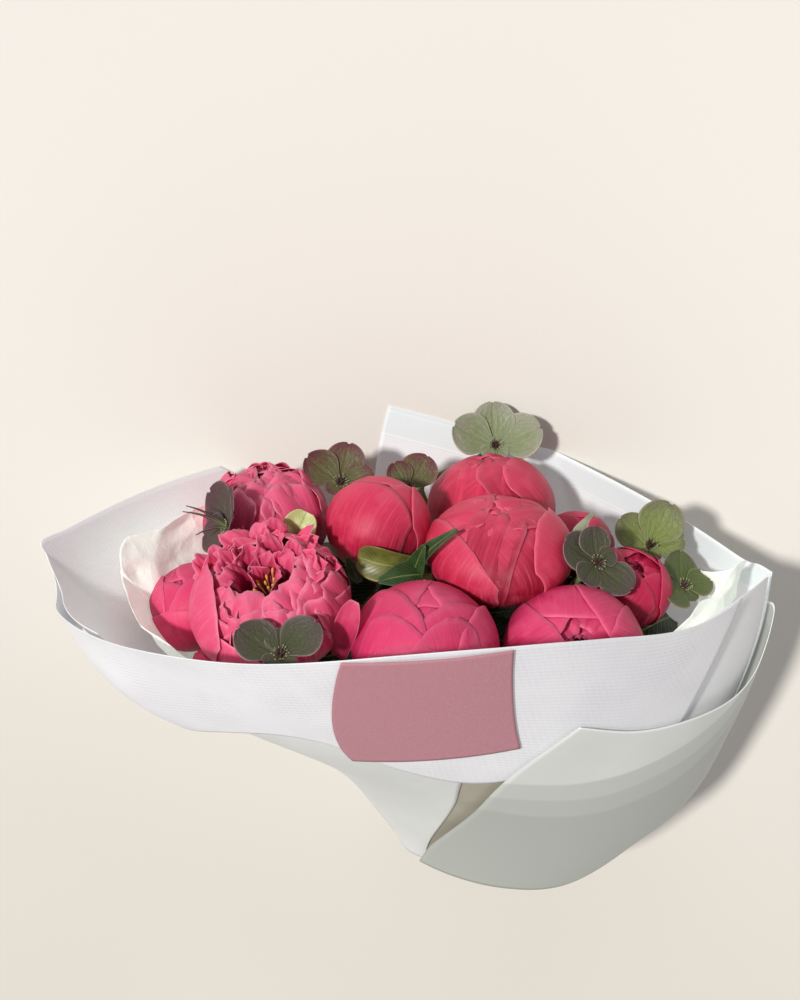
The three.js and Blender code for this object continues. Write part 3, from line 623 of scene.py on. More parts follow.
def leaning(azimuth, out, up):
    """A path that leans away from a flower's axis to one side, as far out as it says and up."""
    return np.stack([out * np.cos(azimuth), out * np.sin(azimuth), up], -1)


def close_seams(piece):
    """Merges the points that coincide, which closes tubes along their seams and at their ends."""
    weld = piece.modifiers.new("weld", "WELD")
    weld.merge_threshold = 0.01 * MM


widest_bloom = PEONIES[1]
share = np.array([0, 0.3, 0.6, 0.8, 0.86, 0.95, 1.0])
stamens = []
for k in range(STAMENS):
    lean = TUFT_SHARE * widest_bloom["radius"] * np.sqrt((k + 1) / STAMENS) + chance.uniform(-0.5, 0.5)
    height = chance.uniform(19, 25)
    path = leaning(np.radians(k * GOLDEN_ANGLE), lean * (0.3 + share ** 1.5), height * share)
    stamens.append(stand(tube(path, [0.3, 0.25, 0.25, 0.25, 0.8, 0.9, 0.5], 6), widest_bloom))
tuft = surfaces("stamens", stamens)
close_seams(tuft)


def stamen_paint(value):
    return {"Base Color": value.along().between(0.6, 0.7).blend((0.62, 0.30, 0.10), (0.75, 0.42, 0.07))}


settle(tuft, finish("golden_stamens", {"Roughness": 0.7}, stamen_paint), "petals")


# ---------------------------------------------------------------- hellebores
# Eight hellebore flowers past their bloom: five leathery, veined sepals each, round a green
# seed head with horned carpels and a ring of pale stamens.

# Each flower: its middle, the way that it faces, its kind, and its sepals' directions, in degrees
# as seen from the side that it faces, and lengths.
HELLEBORES = [
    dict(zip(("at", "faces", "kind", "sepals"), flower)) for flower in (
        ((-45, 78, 10), (0.05, -0.5, 0.85), "mauve", [(80, 28), (148, 28), (18, 23), (225, 12), (305, 12)]),
        ((2, 76, 6), (0.1, -0.5, 0.85), "mauve", [(62, 27), (122, 20), (180, 12), (240, 12), (310, 12)]),
        ((66, 129, 9), (0, -0.6, 0.8), "grey", [(93, 31), (158, 32), (18, 34), (225, 12), (315, 12)]),
        ((-116, 12, 17), (-0.9, -0.15, 0.4), "wine", [(95, 36), (150, 28), (40, 26), (265, 24), (330, 18)]),
        ((-75, -103, 4), (0.05, -0.3, 1), "dark", [(152, 29), (42, 28), (95, 18), (225, 12), (310, 12)]),
        (
            (124, -13.6, 7.4), (0.35, -0.55, 0.8), "dark",
            [(165, 27), (108, 23), (325, 27), (40, 14), (238, 20)],
        ),
        ((168, 40, -18), (0.1, -0.5, 0.85), "lime", [(140, 27), (64, 32), (12, 24), (215, 12), (290, 12)]),
        ((188, 12, -31), (0.4, -0.3, 0.9), "moss", [(98, 25), (24, 21), (165, 20), (228, 27), (310, 13)]),
    )
]
SLOT_OF = {"wine": "mauve", "moss": "lime"}
SEPAL_HEIGHTS = (0, 1.6, 0, 1.6, 0.8)
SEPAL_THICKNESS = 0.45 * MM
HALF_WIDTH_SHARE = 0.52
WIDEST = 0.5
FILAMENTS = 14
LONG_HORNS = {4: [(-31, 8, 8), (-28, 6, 14), (-22, -2, -4)]}
SHORT_HORNS = {7: 3}

# Each kind's colours: its heart, its margin, its veins and its rim.
KINDS = {
    "mauve": ((0.115, 0.115, 0.040), (0.130, 0.040, 0.042), (0.060, 0.022, 0.024), (0.34, 0.20, 0.20)),
    "wine": ((0.070, 0.050, 0.035), (0.085, 0.036, 0.045), (0.035, 0.014, 0.018), (0.26, 0.15, 0.16)),
    "grey": ((0.22, 0.26, 0.13), (0.30, 0.31, 0.23), (0.16, 0.18, 0.11), (0.52, 0.48, 0.42)),
    "dark": ((0.070, 0.076, 0.036), (0.085, 0.068, 0.060), (0.036, 0.030, 0.022), (0.34, 0.24, 0.24)),
    "moss": ((0.085, 0.12, 0.035), (0.10, 0.12, 0.05), (0.05, 0.07, 0.025), (0.30, 0.28, 0.18)),
    "lime": ((0.20, 0.25, 0.07), (0.16, 0.17, 0.085), (0.085, 0.10, 0.04), (0.36, 0.30, 0.22)),
}


def sepal(chance, direction, length, height):
    """A sepal reaches out from the middle, widest at WIDEST of its way, with a round end, cupped
    like a shallow bowl, with a slow wave along its edge and a crease down its rib."""
    u, v = grid(26, 21)
    t = 1 - (1 - v) ** 1.6
    phase = chance.uniform(0, 6)
    reach = 2 + (length - 2) * t * (1 + 0.03 * u * u * t)
    swelling = 0.2 + 0.8 * np.sin(np.minimum(1, t / WIDEST) * np.pi / 2) ** 1.3
    rounding = np.sqrt(1 - 0.985 * (np.maximum(0, t - WIDEST) / (1 - WIDEST)) ** 2)
    half = length * HALF_WIDTH_SHARE * swelling * rounding
    cup = 0.009 * (reach ** 2 + (half * u) ** 2)
    wave = 0.9 * np.sin(4 * u + 5 * v + phase) * v * np.abs(u) - 0.5 * np.exp(-(u / 0.1) ** 2)
    turned = np.radians(direction)
    x = reach * np.cos(turned) - u * half * np.sin(turned)
    y = reach * np.sin(turned) + u * half * np.cos(turned)
    return np.stack([x, y, cup + height + wave], -1)


def carpels(number, flower):
    """Pointed green pods stand in a ring. On two flowers they end in dark horns, and on one of
    these the horns are long, and curve away to the side."""
    if number in LONG_HORNS:
        share = np.linspace(0, 1, 12)
        radii = 1.5 * (1 - 0.8 * share) * smooth(-0.1, 0.12, share)
        horns = []
        for end in np.array(LONG_HORNS[number], float):
            path = np.array(flower["at"]) + end * share[:, None]
            path[:, 2] += 3.0 * np.sin(share * np.pi)
            horns.append(tube(path, radii, 8))
        return horns
    share = np.array([0, 0.15, 0.35, 0.6, 0.8, 1.0])
    height = 9.5 if number in SHORT_HORNS else 5.5
    count = SHORT_HORNS.get(number, 5)
    pods = []
    for k in range(count):
        path = leaning(2 * np.pi * k / count, 0.9 + 1.7 * share, height * share)
        pods.append(stand(tube(path, [0.6, 1.5, 1.6, 0.9, 0.5, 0.25], 8), flower))
    return pods


def hellebore_paint(heart, margin, vein, rim):
    """A green heart runs out into the margin's colour, and veins fan out from the root."""

    def paint(value):
        uv = value.sheet_places()
        across, up = value.parts(uv)
        side = (across - 0.5).absolute() * 2
        clouds = value.noise(value.places(), 150, 3.0)
        edge = (side ** 22 + up ** 60).clamped()
        spread = (up * 0.8 + side * 0.3 + clouds * 0.7 - 0.35).between(0.3, 0.85)
        wander = value.noise(uv, 5, 2.0) * 1.4
        fan = ((across + wander * 0.06) * 44).sine() * (1 - up * 0.4)
        web = value.node(
            "TexVoronoi", {"feature": "DISTANCE_TO_EDGE"},
            {"Vector": value.stretch(uv, (14, 7, 1)), "Scale": 1.0},
        )
        veins = (fan.between(0.75, 1.0) * 0.5 + (1 - web.between(0.0, 0.06)) * 0.45).clamped()
        colour = spread.blend(heart, margin)
        colour = (veins * (1 - edge)).blend(colour, vein)
        colour = (edge * 0.85).blend(colour, rim)
        return {
            "Base Color": colour,
            "Roughness": 0.42 + 0.25 * clouds,
            "Normal": value.bump(web.between(0.0, 0.2) + fan.between(-1, 1), 0.35 * MM, 0.5),
        }

    return paint


def seed_paint(value):
    return {"Base Color": value.along().between(0.05, 0.45).blend((0.15, 0.19, 0.06), (0.06, 0.028, 0.026))}


def filament_paint(value):
    return {"Base Color": value.along().between(0.55, 0.7).blend((0.32, 0.36, 0.18), (0.50, 0.44, 0.27))}


SEPAL_FINISH = {"Specular IOR Level": 0.4, "Subsurface Weight": 0.05, "Subsurface Scale": 0.003}
sepal_finishes = {}
for kind, colours in KINDS.items():
    sepal_finishes[kind] = finish(f"sepals_{kind}", SEPAL_FINISH, hellebore_paint(*colours))
seed_finish = finish("seed_heads", {"Roughness": 0.5}, seed_paint)
filament_finish = finish("filaments", {"Roughness": 0.6}, filament_paint)

for number, flower in enumerate(HELLEBORES, 1):
    slot = f"hellebore_{SLOT_OF.get(flower['kind'], flower['kind'])}"
    sepals = []
    for (direction, length), height in zip(flower["sepals"], SEPAL_HEIGHTS):
        sepals.append(stand(sepal(chance, direction, length, height), flower))
    piece = surfaces(f"sepals_{number}", sepals, chance.uniform(-1, 1, 5))
    thicken(piece, SEPAL_THICKNESS)
    settle(piece, sepal_finishes[flower["kind"]], slot, f"hellebore_{number}")
    pods = carpels(number, flower)
    head = surfaces(f"seed_head_{number}", pods)
    close_seams(head)
    settle(head, seed_finish, slot)
    threads = []
    share = np.array([0, 0.5, 0.8, 0.9, 1.0])
    for k in range(FILAMENTS):
        out = 1.5 + chance.uniform(2.5, 4.5) * share
        path = leaning(np.radians(k * GOLDEN_ANGLE), out, 0.8 + 3.4 * share ** 0.8)
        threads.append(stand(tube(path, [0.15, 0.13, 0.13, 0.38, 0.3], 5), flower))
    ring = surfaces(f"filaments_{number}", threads)
    close_seams(ring)
    settle(ring, filament_finish, slot)


# ---------------------------------------------------------------- the wrap's funnel
# The wrap is several large sheets of stiff florist's paper rolled into one cone with a flat
# back. Its white sheets are here, and a dark beige sheet at its front, painted shade in the gap there.

FOOT = -290
STATION_STEP = 75
LEFT_EDGE = (18, -16, -66, -178, -236, -268)
RIGHT_EDGE = (120, 197, 224, 238, 239, 239)
FRONT_DEPTH = (42, 62, 84, 108, 127, 141)
BACK_DEPTH = 55
BACK_FULLNESS = 1.22
PAPER_THICKNESS = 0.5 * MM


def curve(values, place):
    """A smooth curve through numbers or points, read at a place counted from the first of them."""
    values = np.array(values, float)
    place = np.clip(place, 0, len(values) - 1 - 1e-9)
    k = np.floor(place).astype(int)
    u = (place - k).reshape(k.shape + (1,) * (values.ndim - 1))
    run = np.concatenate([[2 * values[0] - values[1]], values, [2 * values[-1] - values[-2]]])
    a, b, c, d = (run[k + n] for n in range(4))
    square, cube = 2 * a - 5 * b + 4 * c - d, 3 * b - a - 3 * c + d
    return b + 0.5 * ((c - a) * u + square * u ** 2 + cube * u ** 3)


def station(values, height):
    """A curve through values that stand every STATION_STEP up the axis."""
    return curve(values, np.asarray((height - FOOT) / STATION_STEP))


def back_depth(height):
    return BACK_DEPTH + np.tan(BACK_LEAN) * (height - FOOT)


def funnel(angle, height, out, inset_left=0, inset_right=0):
    """Points of the funnel: angle 0 is its right-hand edge, 90 its front, 180 its left-hand edge
    and 270 its back. The front is round, and the back runs straight to both edges."""
    cosine, sine = np.cos(np.radians(angle)), np.sin(np.radians(angle))
    left = station(LEFT_EDGE, height) + inset_left
    right = station(RIGHT_EDGE, height) - inset_right
    x = (left + right) / 2 + ((right - left) / 2 + out) * cosine
    bent = np.maximum(sine, 0) ** (1.2 + 0.3 * cosine)
    front = -(station(FRONT_DEPTH, height) + out) * bent
    climb = np.minimum(1.2, (height - FOOT) / 306)
    curved = BACK_FULLNESS * back_depth(height) * np.abs(sine) ** (1 + climb * climb)
    back = np.minimum(curved, back_depth(height)) + out * np.minimum(1, 4 * np.abs(sine))
    return np.stack([x, np.where(sine >= 0, front, back), height + 0 * x], -1)


def between_edges(top, bottom, rows, columns):
    """The angle, the height and the share of the way up of each point of a sheet. Its top and its
    bottom edge are curves through (angle, height) points."""
    u, v = grid(rows, columns)
    high, low = (curve(edge, (u + 1) / 2 * (len(edge) - 1)) for edge in (top, bottom))
    angle, height = np.moveaxis(low + (high - low) * v[..., None], -1, 0)
    return angle, height, v


def paper_sheet(name, out, top, bottom, bulge=None, columns=121, rows=61):
    """A sheet of paper on the funnel between its top and its bottom edge."""
    angle, height, _ = between_edges(top, bottom, rows, columns)
    extra = bulge(angle, height) if bulge else 0
    piece = surfaces(name, [funnel(angle, height, out + extra)], flip=True, lengths=True)
    thicken(piece, PAPER_THICKNESS, 1)
    return piece


def paper_paint(shade, light, weave, emboss, hem=None):
    """Stiff paper: faint clouds of tone, a painted highlight along its cut edge, an embossed weave of fine
    threads, and where there is a hem, a folded strip that wide along its top edge, in a cooler white, with a
    painted highlight along its fold."""

    def paint(value):
        uv = value.sheet_places()
        across, down = value.parts(uv)
        clouds = value.noise(value.places(), 9, 3.0)
        colour = clouds.between(0.3, 0.7).blend(shade, light)
        edge = 1 - down.between(0.0006, 0.0014)
        strip = edge
        if hem:
            strip = 1 - down.between(hem, hem + 0.0006)
            fold = strip * down.between(hem - 0.0016, hem - 0.0006)
            colour = (strip * 0.8).blend(colour, (0.70, 0.76, 0.78))
            # A painted highlight along the hem's fold.
            colour = (fold * 0.6).blend(colour, (0.90, 0.90, 0.90))
        # A painted highlight: a thin bright line along the cut edge.
        colour = (edge * 0.8).blend(colour, (0.88, 0.89, 0.90))
        thread = 2 * np.pi / weave
        threads = (down * thread).sine() * 0.7 + (across * thread * 0.7).sine() * 0.3
        grain = value.noise(value.stretch(uv, (700, 2600, 1)), 1.0, 2.0)
        patch = value.noise(value.places(), 26, 2.0).between(0.35, 0.65)
        weft = (threads.between(-1, 1) * 0.45 + grain.between(0.3, 0.7) * 0.55) * (0.5 + patch * 0.5)
        return {
            "Base Color": (weft * emboss).blend(colour, (0.50, 0.48, 0.54)),
            "Normal": value.bump(threads * 0.5 + grain + strip * 2, 0.16 * MM, 0.5),
        }

    return paint


# Satin paper with a faint emission: a painted glow that brightens the thin paper, as light shining through it
# does. The lit-through papers have more of this painted glow.
GLOWING_SATIN = {
    "Roughness": 0.48,
    "Specular IOR Level": 0.35,
    "Emission Color": (0.97, 1, 1, 1),
    "Emission Strength": 0.06,
}
LIT_THROUGH = {**GLOWING_SATIN, "Emission Strength": 0.10}

# Each white paper: how it shines and how much painted glow it has, its two tones, its weave's width, its
# emboss and its hem.
WHITES = {
    "white_paper": (GLOWING_SATIN, (0.78, 0.775, 0.79), (0.86, 0.86, 0.87), 0.0022, 0.10),
    "lit_paper": (LIT_THROUGH, (0.76, 0.75, 0.77), (0.84, 0.84, 0.85), 0.0022, 0.10),
    "hemmed_paper": (LIT_THROUGH, (0.78, 0.77, 0.80), (0.86, 0.85, 0.88), 0.0022, 0.08, 0.022),
    # The shaded paper is the white paper in darker tones: painted shade on the front left-hand sheet.
    "shaded_paper": (GLOWING_SATIN, (0.60, 0.605, 0.58), (0.70, 0.705, 0.685), 0.0022, 0.10),
    "linen_paper": (GLOWING_SATIN, (0.77, 0.755, 0.78), (0.86, 0.85, 0.87), 0.0030, 0.5),
}
whites = {}
for name, (shine, *tones) in WHITES.items():
    whites[name] = finish(name, shine, paper_paint(*tones))

# Each sheet: how far out it lies, its paper, its node, its top edge and its bottom edge.
SHEETS = {
    "back_left_sheet": (
        2.3, "lit_paper", "wrap_back_left",
        [[146, -3], [156, -6], [166, -10], [174, -9], [184, 12], [199, 10], [213, 7], [224, 3], [234, -2]],
        [
            [146, -95], [156, -105], [166, -115], [174, -125], [186, -140],
            [200, -190], [216, -240], [240, -285], [290, -285],
        ],
    ),
    "back_right_sheet": (
        5.5, "hemmed_paper", "wrap_back_right",
        [[268, 27], [279, 14], [294, -4], [312, -15], [338, -21], [348, -15], [356, -12]],
        [[228, -285], [250, -285], [275, -285], [300, -285], [325, -270], [345, -210], [357, -130]],
    ),
    "inner_sheet": (
        1.6, "white_paper", "wrap_inner",
        [[3, -13], [15, -4], [30, 2], [50, 0], [75, -12], [105, -22], [135, -35], [160, -50]],
        [[3, -150], [12, -172], [28, -200], [55, -236], [80, -240], [105, -240], [130, -238], [155, -236]],
    ),
    "front_left_sheet": (
        4.6, "shaded_paper", "wrap_front_left",
        [[91.5, -88], [106, -48], [130, -44], [155, -55], [176, -75], [196, -100]],
        [[139, -238], [150, -242], [163, -246], [178, -250], [196, -254], [216, -258]],
    ),
}
for name, (out, paper, node, top, bottom) in SHEETS.items():
    settle(paper_sheet(name, out, top, bottom), whites[paper], "white_paper", node)

# A dark beige sheet fills the gap between the front left-hand sheet and the grey outer sheet: its colour is
# painted shade on the paper seen there.
shade_sheet = paper_sheet(
    "painted_shade_sheet", 3.2,
    [[82, -92], [98, -96], [116, -104], [132, -112]],
    [[86, -236], [104, -237], [122, -236], [142, -234]],
)


def shade_sheet_paint(value):
    clouds = value.noise(value.places(), 30, 3.0)
    return {"Base Color": clouds.between(0.3, 0.7).blend((0.36, 0.33, 0.26), (0.45, 0.41, 0.33))}


settle(shade_sheet, finish("painted_shade_paper", {"Roughness": 0.6}, shade_sheet_paint), "grey_paper")


# ---------------------------------------------------------------- the collar
# A separate strip of linen-embossed paper runs across the front, and stands away from the
# cone at its loose lower left-hand corner.

def collar_bulge(angle, height):
    away = 18 * smooth(118, 150, angle) * smooth(0, -70, height) * smooth(180, 168, angle)
    return away - 4.2 * smooth(164, 177, angle)


collar = paper_sheet(
    "collar_sheet", 7.4,
    [
        [184, 10], [171, -11], [158, -5], [142, 0], [128, 7], [112, 16],
        [90, 34], [75, 36], [62, 28], [46, 10], [31, 7],
    ],
    [
        [184, -10], [169, -45], [158, -66], [146, -78], [130, -68], [112, -62],
        [104, -88], [96, -100], [83, -97], [64, -90], [46, -76],
    ],
    collar_bulge,
)
settle(collar, whites["linen_paper"], "white_paper", "wrap_collar")


# ---------------------------------------------------------------- the grey outer sheet
# Smooth grey-green paper. The folded layers under it show through as broad slanting bands, each darker
# than the last: painted shade where the layers hold back the light that comes through the sheet.

# Each band of painted shade: its start below a line that slants down across the sheet, and its colour.
SHADE_BANDS = [
    (0.0, (0.49, 0.50, 0.465)), (0.020, (0.425, 0.435, 0.40)), (0.042, (0.37, 0.38, 0.345)),
]
BAND_SLOPE = 0.37


def band_paint(value):
    uv = value.sheet_places()
    across, down = value.parts(uv)
    sway = value.noise(uv, 6, 2.0)
    slant = down - across * BAND_SLOPE + sway * 0.016
    clouds = value.noise(value.places(), 12, 3.0)
    colour = clouds.between(0.3, 0.7).blend((0.61, 0.62, 0.585), (0.67, 0.68, 0.65))
    for start, below in SHADE_BANDS:
        colour = slant.between(start, start + 0.004).blend(colour, below)
    # A painted highlight: a thin bright line along the sheet's top edge.
    edge = 1 - down.between(0.0008, 0.0018)
    colour = (edge * 0.85).blend(colour, (0.90, 0.91, 0.89))
    grain = value.noise(value.places(), 900, 2.0)
    return {"Base Color": colour, "Normal": value.bump(grain, 0.05 * MM, 0.4)}


outer = paper_sheet(
    "outer_sheet", 10.0,
    [[-25, -60], [-10, -45], [-2, -40], [5, -58], [13, -80], [28, -85], [46, -75], [58, -64], [68, -45]],
    [
        [-32, -168], [-16, -172], [0, -178], [16, -184], [36, -194],
        [54, -206], [68, -242], [100, -243], [138, -236],
    ],
)
settle(outer, finish("grey_paper", GLOWING_SATIN, band_paint), "grey_paper", "wrap_outer_right")


# ---------------------------------------------------------------- tissue
# Cream tissue lines the cone at both sides, crumpled into sharp little facets. A faint greenish painted glow
# brightens it.

TISSUE_THICKNESS = 0.3 * MM


def sharp_folds(place):
    """Sharp folds: 1 at even places, 0 at odd ones, and straight between them."""
    return np.abs(place % 2 - 1)


def tissue_sheet(name, top, bottom, inset_left, inset_right):
    """A sheet inside the funnel, pushed in and out by broad folds and by a few sharp creases."""
    angle, height, v = between_edges(top, bottom, 91, 121)
    ridges = sharp_folds(0.030 * angle + 0.016 * height) + sharp_folds(0.021 * height - 0.043 * angle)
    small = sharp_folds(0.11 * angle - 0.05 * height) * sharp_folds(0.09 * height + 0.06 * angle)
    out = -1.0 - 3.2 * v + v * (5.5 * (ridges - 1) + 3.0 * small)
    near = smooth(-110, -40, height)
    points = funnel(angle, height, out, inset_left * near, inset_right * near)
    points[..., 2] += 4 * v ** 8 * (ridges - 1)
    piece = surfaces(name, [points], flip=True, lengths=True)
    thicken(piece, TISSUE_THICKNESS)
    return piece


def tissue_paint(value):
    places = value.places()
    facets = value.node("TexVoronoi", {"feature": "F1"}, {"Vector": places, "Scale": 26.0})
    fine = value.noise(places, 90, 3.0, 0.6)
    colour = fine.between(0.35, 0.65).blend((0.82, 0.83, 0.77), (0.90, 0.91, 0.86))
    return {"Base Color": colour, "Normal": value.bump(facets + fine * 0.2, 7 * MM, 0.7)}


# A faint greenish emission: a painted glow that brightens the tissue.
TISSUE_GLOW = {"Roughness": 0.8, "Emission Color": (0.9, 1, 0.92, 1), "Emission Strength": 0.26}

tissue_finish = finish("tissue", TISSUE_GLOW, tissue_paint)
left_tissue = tissue_sheet(
    "left_tissue",
    [[144, -14], [158, -14], [171, -15], [185, -10], [196, 0], [208, 0], [219, -4], [230, -18]],
    [[135, -130], [148, -140], [160, -145], [180, -150], [194, -147], [208, -143], [222, -138], [236, -130]],
    32, 0,
)
settle(left_tissue, tissue_finish, "tissue", "tissue_left")
right_tissue = tissue_sheet(
    "right_tissue",
    [[44, -14], [38, -8], [30, 0], [22, -6], [12, 3], [-4, -8], [-22, -24]],
    [[44, -120], [36, -130], [26, -140], [14, -140], [2, -135], [-14, -125], [-28, -110]],
    0, 16,
)
settle(right_tissue, tissue_finish, "tissue", "tissue_right")


# ---------------------------------------------------------------- the card
# A plain card of dusty pink stock is tucked over the collar, and follows its curve.

card = paper_sheet("blank_card", 8.6, [[74.8, 34.5], [97.7, 28]], [[78.5, -59], [110.5, -80]], None, 61, 41)


def card_paint(value):
    fibres = value.noise(value.places(), 700, 4.0, 0.6)
    colour = fibres.between(0.3, 0.7).blend((0.47, 0.205, 0.245), (0.52, 0.235, 0.275))
    return {"Base Color": colour, "Normal": value.bump(fibres, 0.06 * MM, 0.5)}


settle(card, finish("card_stock", {"Roughness": 0.6}, card_paint), "card_stock", "card")


# ---------------------------------------------------------------- stems
# Nineteen green stems come down from the flowers, draw together and pack as a hexagon where
# they are tied. A five-lobed calyx cups each peony, and leaves grow between the blooms.

STEM = 6
SLIM_STEM = 5.2
STEM_PITCH = 6.2
BUNDLE_X = 75
STEM_END = -298
GATHERED = -204
TIE_HEIGHT = -228
TWINE = 2.2
BACK_LAYER = 1.6
LEVELS = (-40, -64, -88, -112, -136, -160, -182)
STEM_ROOM = (11, 11, 11, 10, 9, 8, 7)
STRAIGHT = 13
HEXAGON_ROWS = (3, 4, 5, 4, 3)
ROW_DEPTH = 0.866
PASSING_POINTS = (
    (-42, 79, -20), (0, 74, -20), (10, 122, -20), (-108, 19, -15), (-62, -98, -25), (113, -1, -18),
    (172, 36, -26), (186, 18, -42),
)


def bundle_at(height):
    """The bundle's centre line lies just inside the back of the wrap."""
    inset = (2 * STEM_PITCH * ROW_DEPTH + STEM / 2 + TWINE) / np.cos(BACK_LEAN)
    return np.array([BUNDLE_X, back_depth(height) + BACK_LAYER - inset - 0.6, height])


def stem_top(flower, passing):
    """Where a stem leaves its flower, and the next point on its way down."""
    facing = np.array(Vector(flower["faces"]).normalized())
    at = np.array(flower["at"], float)
    if passing:
        return at - 4.1 * facing, np.array(passing, float)
    depth = flower["radius"] * flower["squash"]
    return at - (depth + 2.2) * facing, at - (depth + 20) * facing


def push_apart(points, room):
    """Moves points of one level apart until each pair has room, in front of the wrap's back."""
    for _ in range(80):
        for i in range(len(points)):
            for j in range(i + 1, len(points)):
                apart = points[j] - points[i]
                short = room - np.linalg.norm(apart)
                if short > 0:
                    apart *= short / 2 / np.linalg.norm(apart)
                    points[i] -= apart
                    points[j] += apart
        wall = back_depth(points[:, 2]) + BACK_LAYER - STEM / 2 - 1.2
        points[:, 1] = np.minimum(points[:, 1], wall)


stemmed = [(bloom, None) for bloom in PEONIES] + list(zip(HELLEBORES[:-1], PASSING_POINTS))
tops = [stem_top(*pair) for pair in stemmed]
below = np.array([low for _, low in tops])

# The stems that start furthest forward go to the front row of the hexagon, each row's from left
# to right.
order = list(np.argsort(below[:, 1], kind="stable"))
spot_of = np.zeros((len(stemmed), 3))
for row, count in enumerate(HEXAGON_ROWS):
    deep = (row - 2) * STEM_PITCH * ROW_DEPTH / np.cos(BACK_LEAN)
    row_stems, order = order[:count], order[count:]
    for k, stem in enumerate(sorted(row_stems, key=lambda stem: below[stem, 0])):
        spot_of[stem] = ((k - (count - 1) / 2) * STEM_PITCH, deep, 0)

rings = []
level_points = below.copy()
above = 0
for height, room in zip(LEVELS, STEM_ROOM):
    start = np.minimum(above, below[:, 2])
    share = np.maximum(0, (start - height) / (start - GATHERED))[:, None]
    level_points = level_points + (bundle_at(height) + spot_of - level_points) * share
    level_points[:, 2] = height
    push_apart(level_points, room)
    rings.append(level_points.copy())
    above = height

routes = []
for k, (neck, low) in enumerate(tops):
    points = [neck]
    if stemmed[k][1]:
        points.append(neck - 5 * np.array(Vector(stemmed[k][0]["faces"]).normalized()))
    points.append(low)
    points += [ring[k] for ring in rings if ring[k, 2] < low[2] - 8]
    points += [bundle_at(height) + spot_of[k] for height in (GATHERED, GATHERED - STRAIGHT, STEM_END)]
    routes.append(np.array(points))


def rounded(route, steps):
    """A route with its corners rounded: each new point is a mean over a short stretch."""
    lengths = np.concatenate([[0], np.linalg.norm(np.diff(route, axis=0), axis=1).cumsum()])
    reach = np.linspace(0, lengths[-1], steps)
    spans = np.clip(reach[:, None] + np.linspace(-7, 7, 9)[None], 0, lengths[-1])
    return np.stack([np.interp(spans, lengths, route[:, axis]).mean(1) for axis in range(3)], -1)


def stem_tube(route, diameter):
    """A stem is a little thicker at its foot, and swells slightly at two nodes on its way."""
    path = rounded(route, 72)
    share = np.linspace(0, 1, 72)
    knots = np.exp(-((share - 0.42) / 0.02) ** 2) + np.exp(-((share - 0.68) / 0.02) ** 2)
    return tube(path, diameter / 2 * (0.93 + 0.05 * share + 0.05 * knots), 16)


def calyx_lobe(bloom, chance, k):
    """A lobe of the calyx lies on the bloom's globe, from its foot up to a rounded tip."""
    u, v = grid(14, 13)
    reach = 4 + (43 + chance.uniform(-4, 4)) * v * (1 - 0.2 * u * u * v)
    half = 30 * (1 - 0.75 * v ** 2.2)
    azimuth = 72 * k + u * half
    radius = bloom["radius"] * (1.0 + 0.02 * np.sin(3 * u + k)) + 1.1 + 0.8 * (1 - v)
    return globe(radius, bloom["squash"], azimuth, 180 - reach, 0 * u)


def stem_paint(value):
    clouds = value.noise(value.places(), 45, 3.0)
    colour = (clouds + value.along() * 0.4).between(0.4, 0.95).blend((0.13, 0.22, 0.06), (0.24, 0.30, 0.10))
    ridges = value.noise(value.stretch(value.sheet_places(), (30, 2, 1)), 1.0, 2.0)
    bumps = value.bump(ridges, 0.2 * MM, 0.5)
    return {"Base Color": colour, "Roughness": 0.35 + 0.25 * clouds, "Normal": bumps}


def leaf_paint(body, light, margin):
    """Leaf flesh with a paler rib and side veins, and a margin of its own colour."""

    def paint(value):
        uv = value.sheet_places()
        across, up = value.parts(uv)
        side = (across - 0.5).absolute() * 2
        clouds = value.noise(value.places(), 120, 3.0)
        veins = (up * 70 - side * 26).sine().between(0.86, 1.0) * (1 - side.between(0.85, 1.0))
        rib = 1 - side.between(0.02, 0.07)
        colour = clouds.between(0.3, 0.7).blend(body, light)
        colour = (veins * 0.35 + rib * 0.6).clamped().blend(colour, (0.30, 0.36, 0.12))
        colour = (side ** 10 + up ** 24).clamped().blend(colour, margin)
        return {
            "Base Color": colour,
            "Roughness": 0.30 + 0.2 * clouds,
            "Normal": value.bump(veins * -1 + clouds * 0.4 - rib, 0.3 * MM, 0.6),
        }

    return paint


stem_finish = finish("green_stems", {"Specular IOR Level": 0.45}, stem_paint)
calyx_finish = finish("calyx", {}, leaf_paint((0.13, 0.19, 0.05), (0.27, 0.29, 0.08), (0.30, 0.16, 0.08)))

for k, route in enumerate(routes):
    is_peony = k < len(PEONIES)
    number = k + 1 if is_peony else k + 1 - len(PEONIES)
    family = "peony" if is_peony else "hellebore"
    diameter = STEM if is_peony else SLIM_STEM
    tubes = [stem_tube(route, diameter)]
    if not is_peony and number == len(HELLEBORES) - 1:
        neck, low = stem_top(HELLEBORES[-1], PASSING_POINTS[-1])
        tubes.append(stem_tube(np.array([neck, low, route[3]]), diameter))
    stem = surfaces(f"{family}_stalk_{number}", tubes, flip=True)
    close_seams(stem)
    settle(stem, stem_finish, "stems", f"{family}_stem_{number}")
    if is_peony:
        bloom = PEONIES[k]
        lobes = [stand(calyx_lobe(bloom, chance, lobe), bloom) for lobe in range(5)]
        calyx = surfaces(f"calyx_{number}", lobes)
        thicken(calyx, 0.6 * MM)
        settle(calyx, calyx_finish, "stems")


# ---------------------------------------------------------------- leaves between the blooms
# Dark leaves curl up beside the middle blooms, over a blushed sepal of the bloom above them. A
# rounded pale bract stands between the open blooms, a folded sepal at the right, and broad leaves
# fill the bunch below, nearly black: their own dark green, deepened by painted shade in the gaps
# between the blooms.

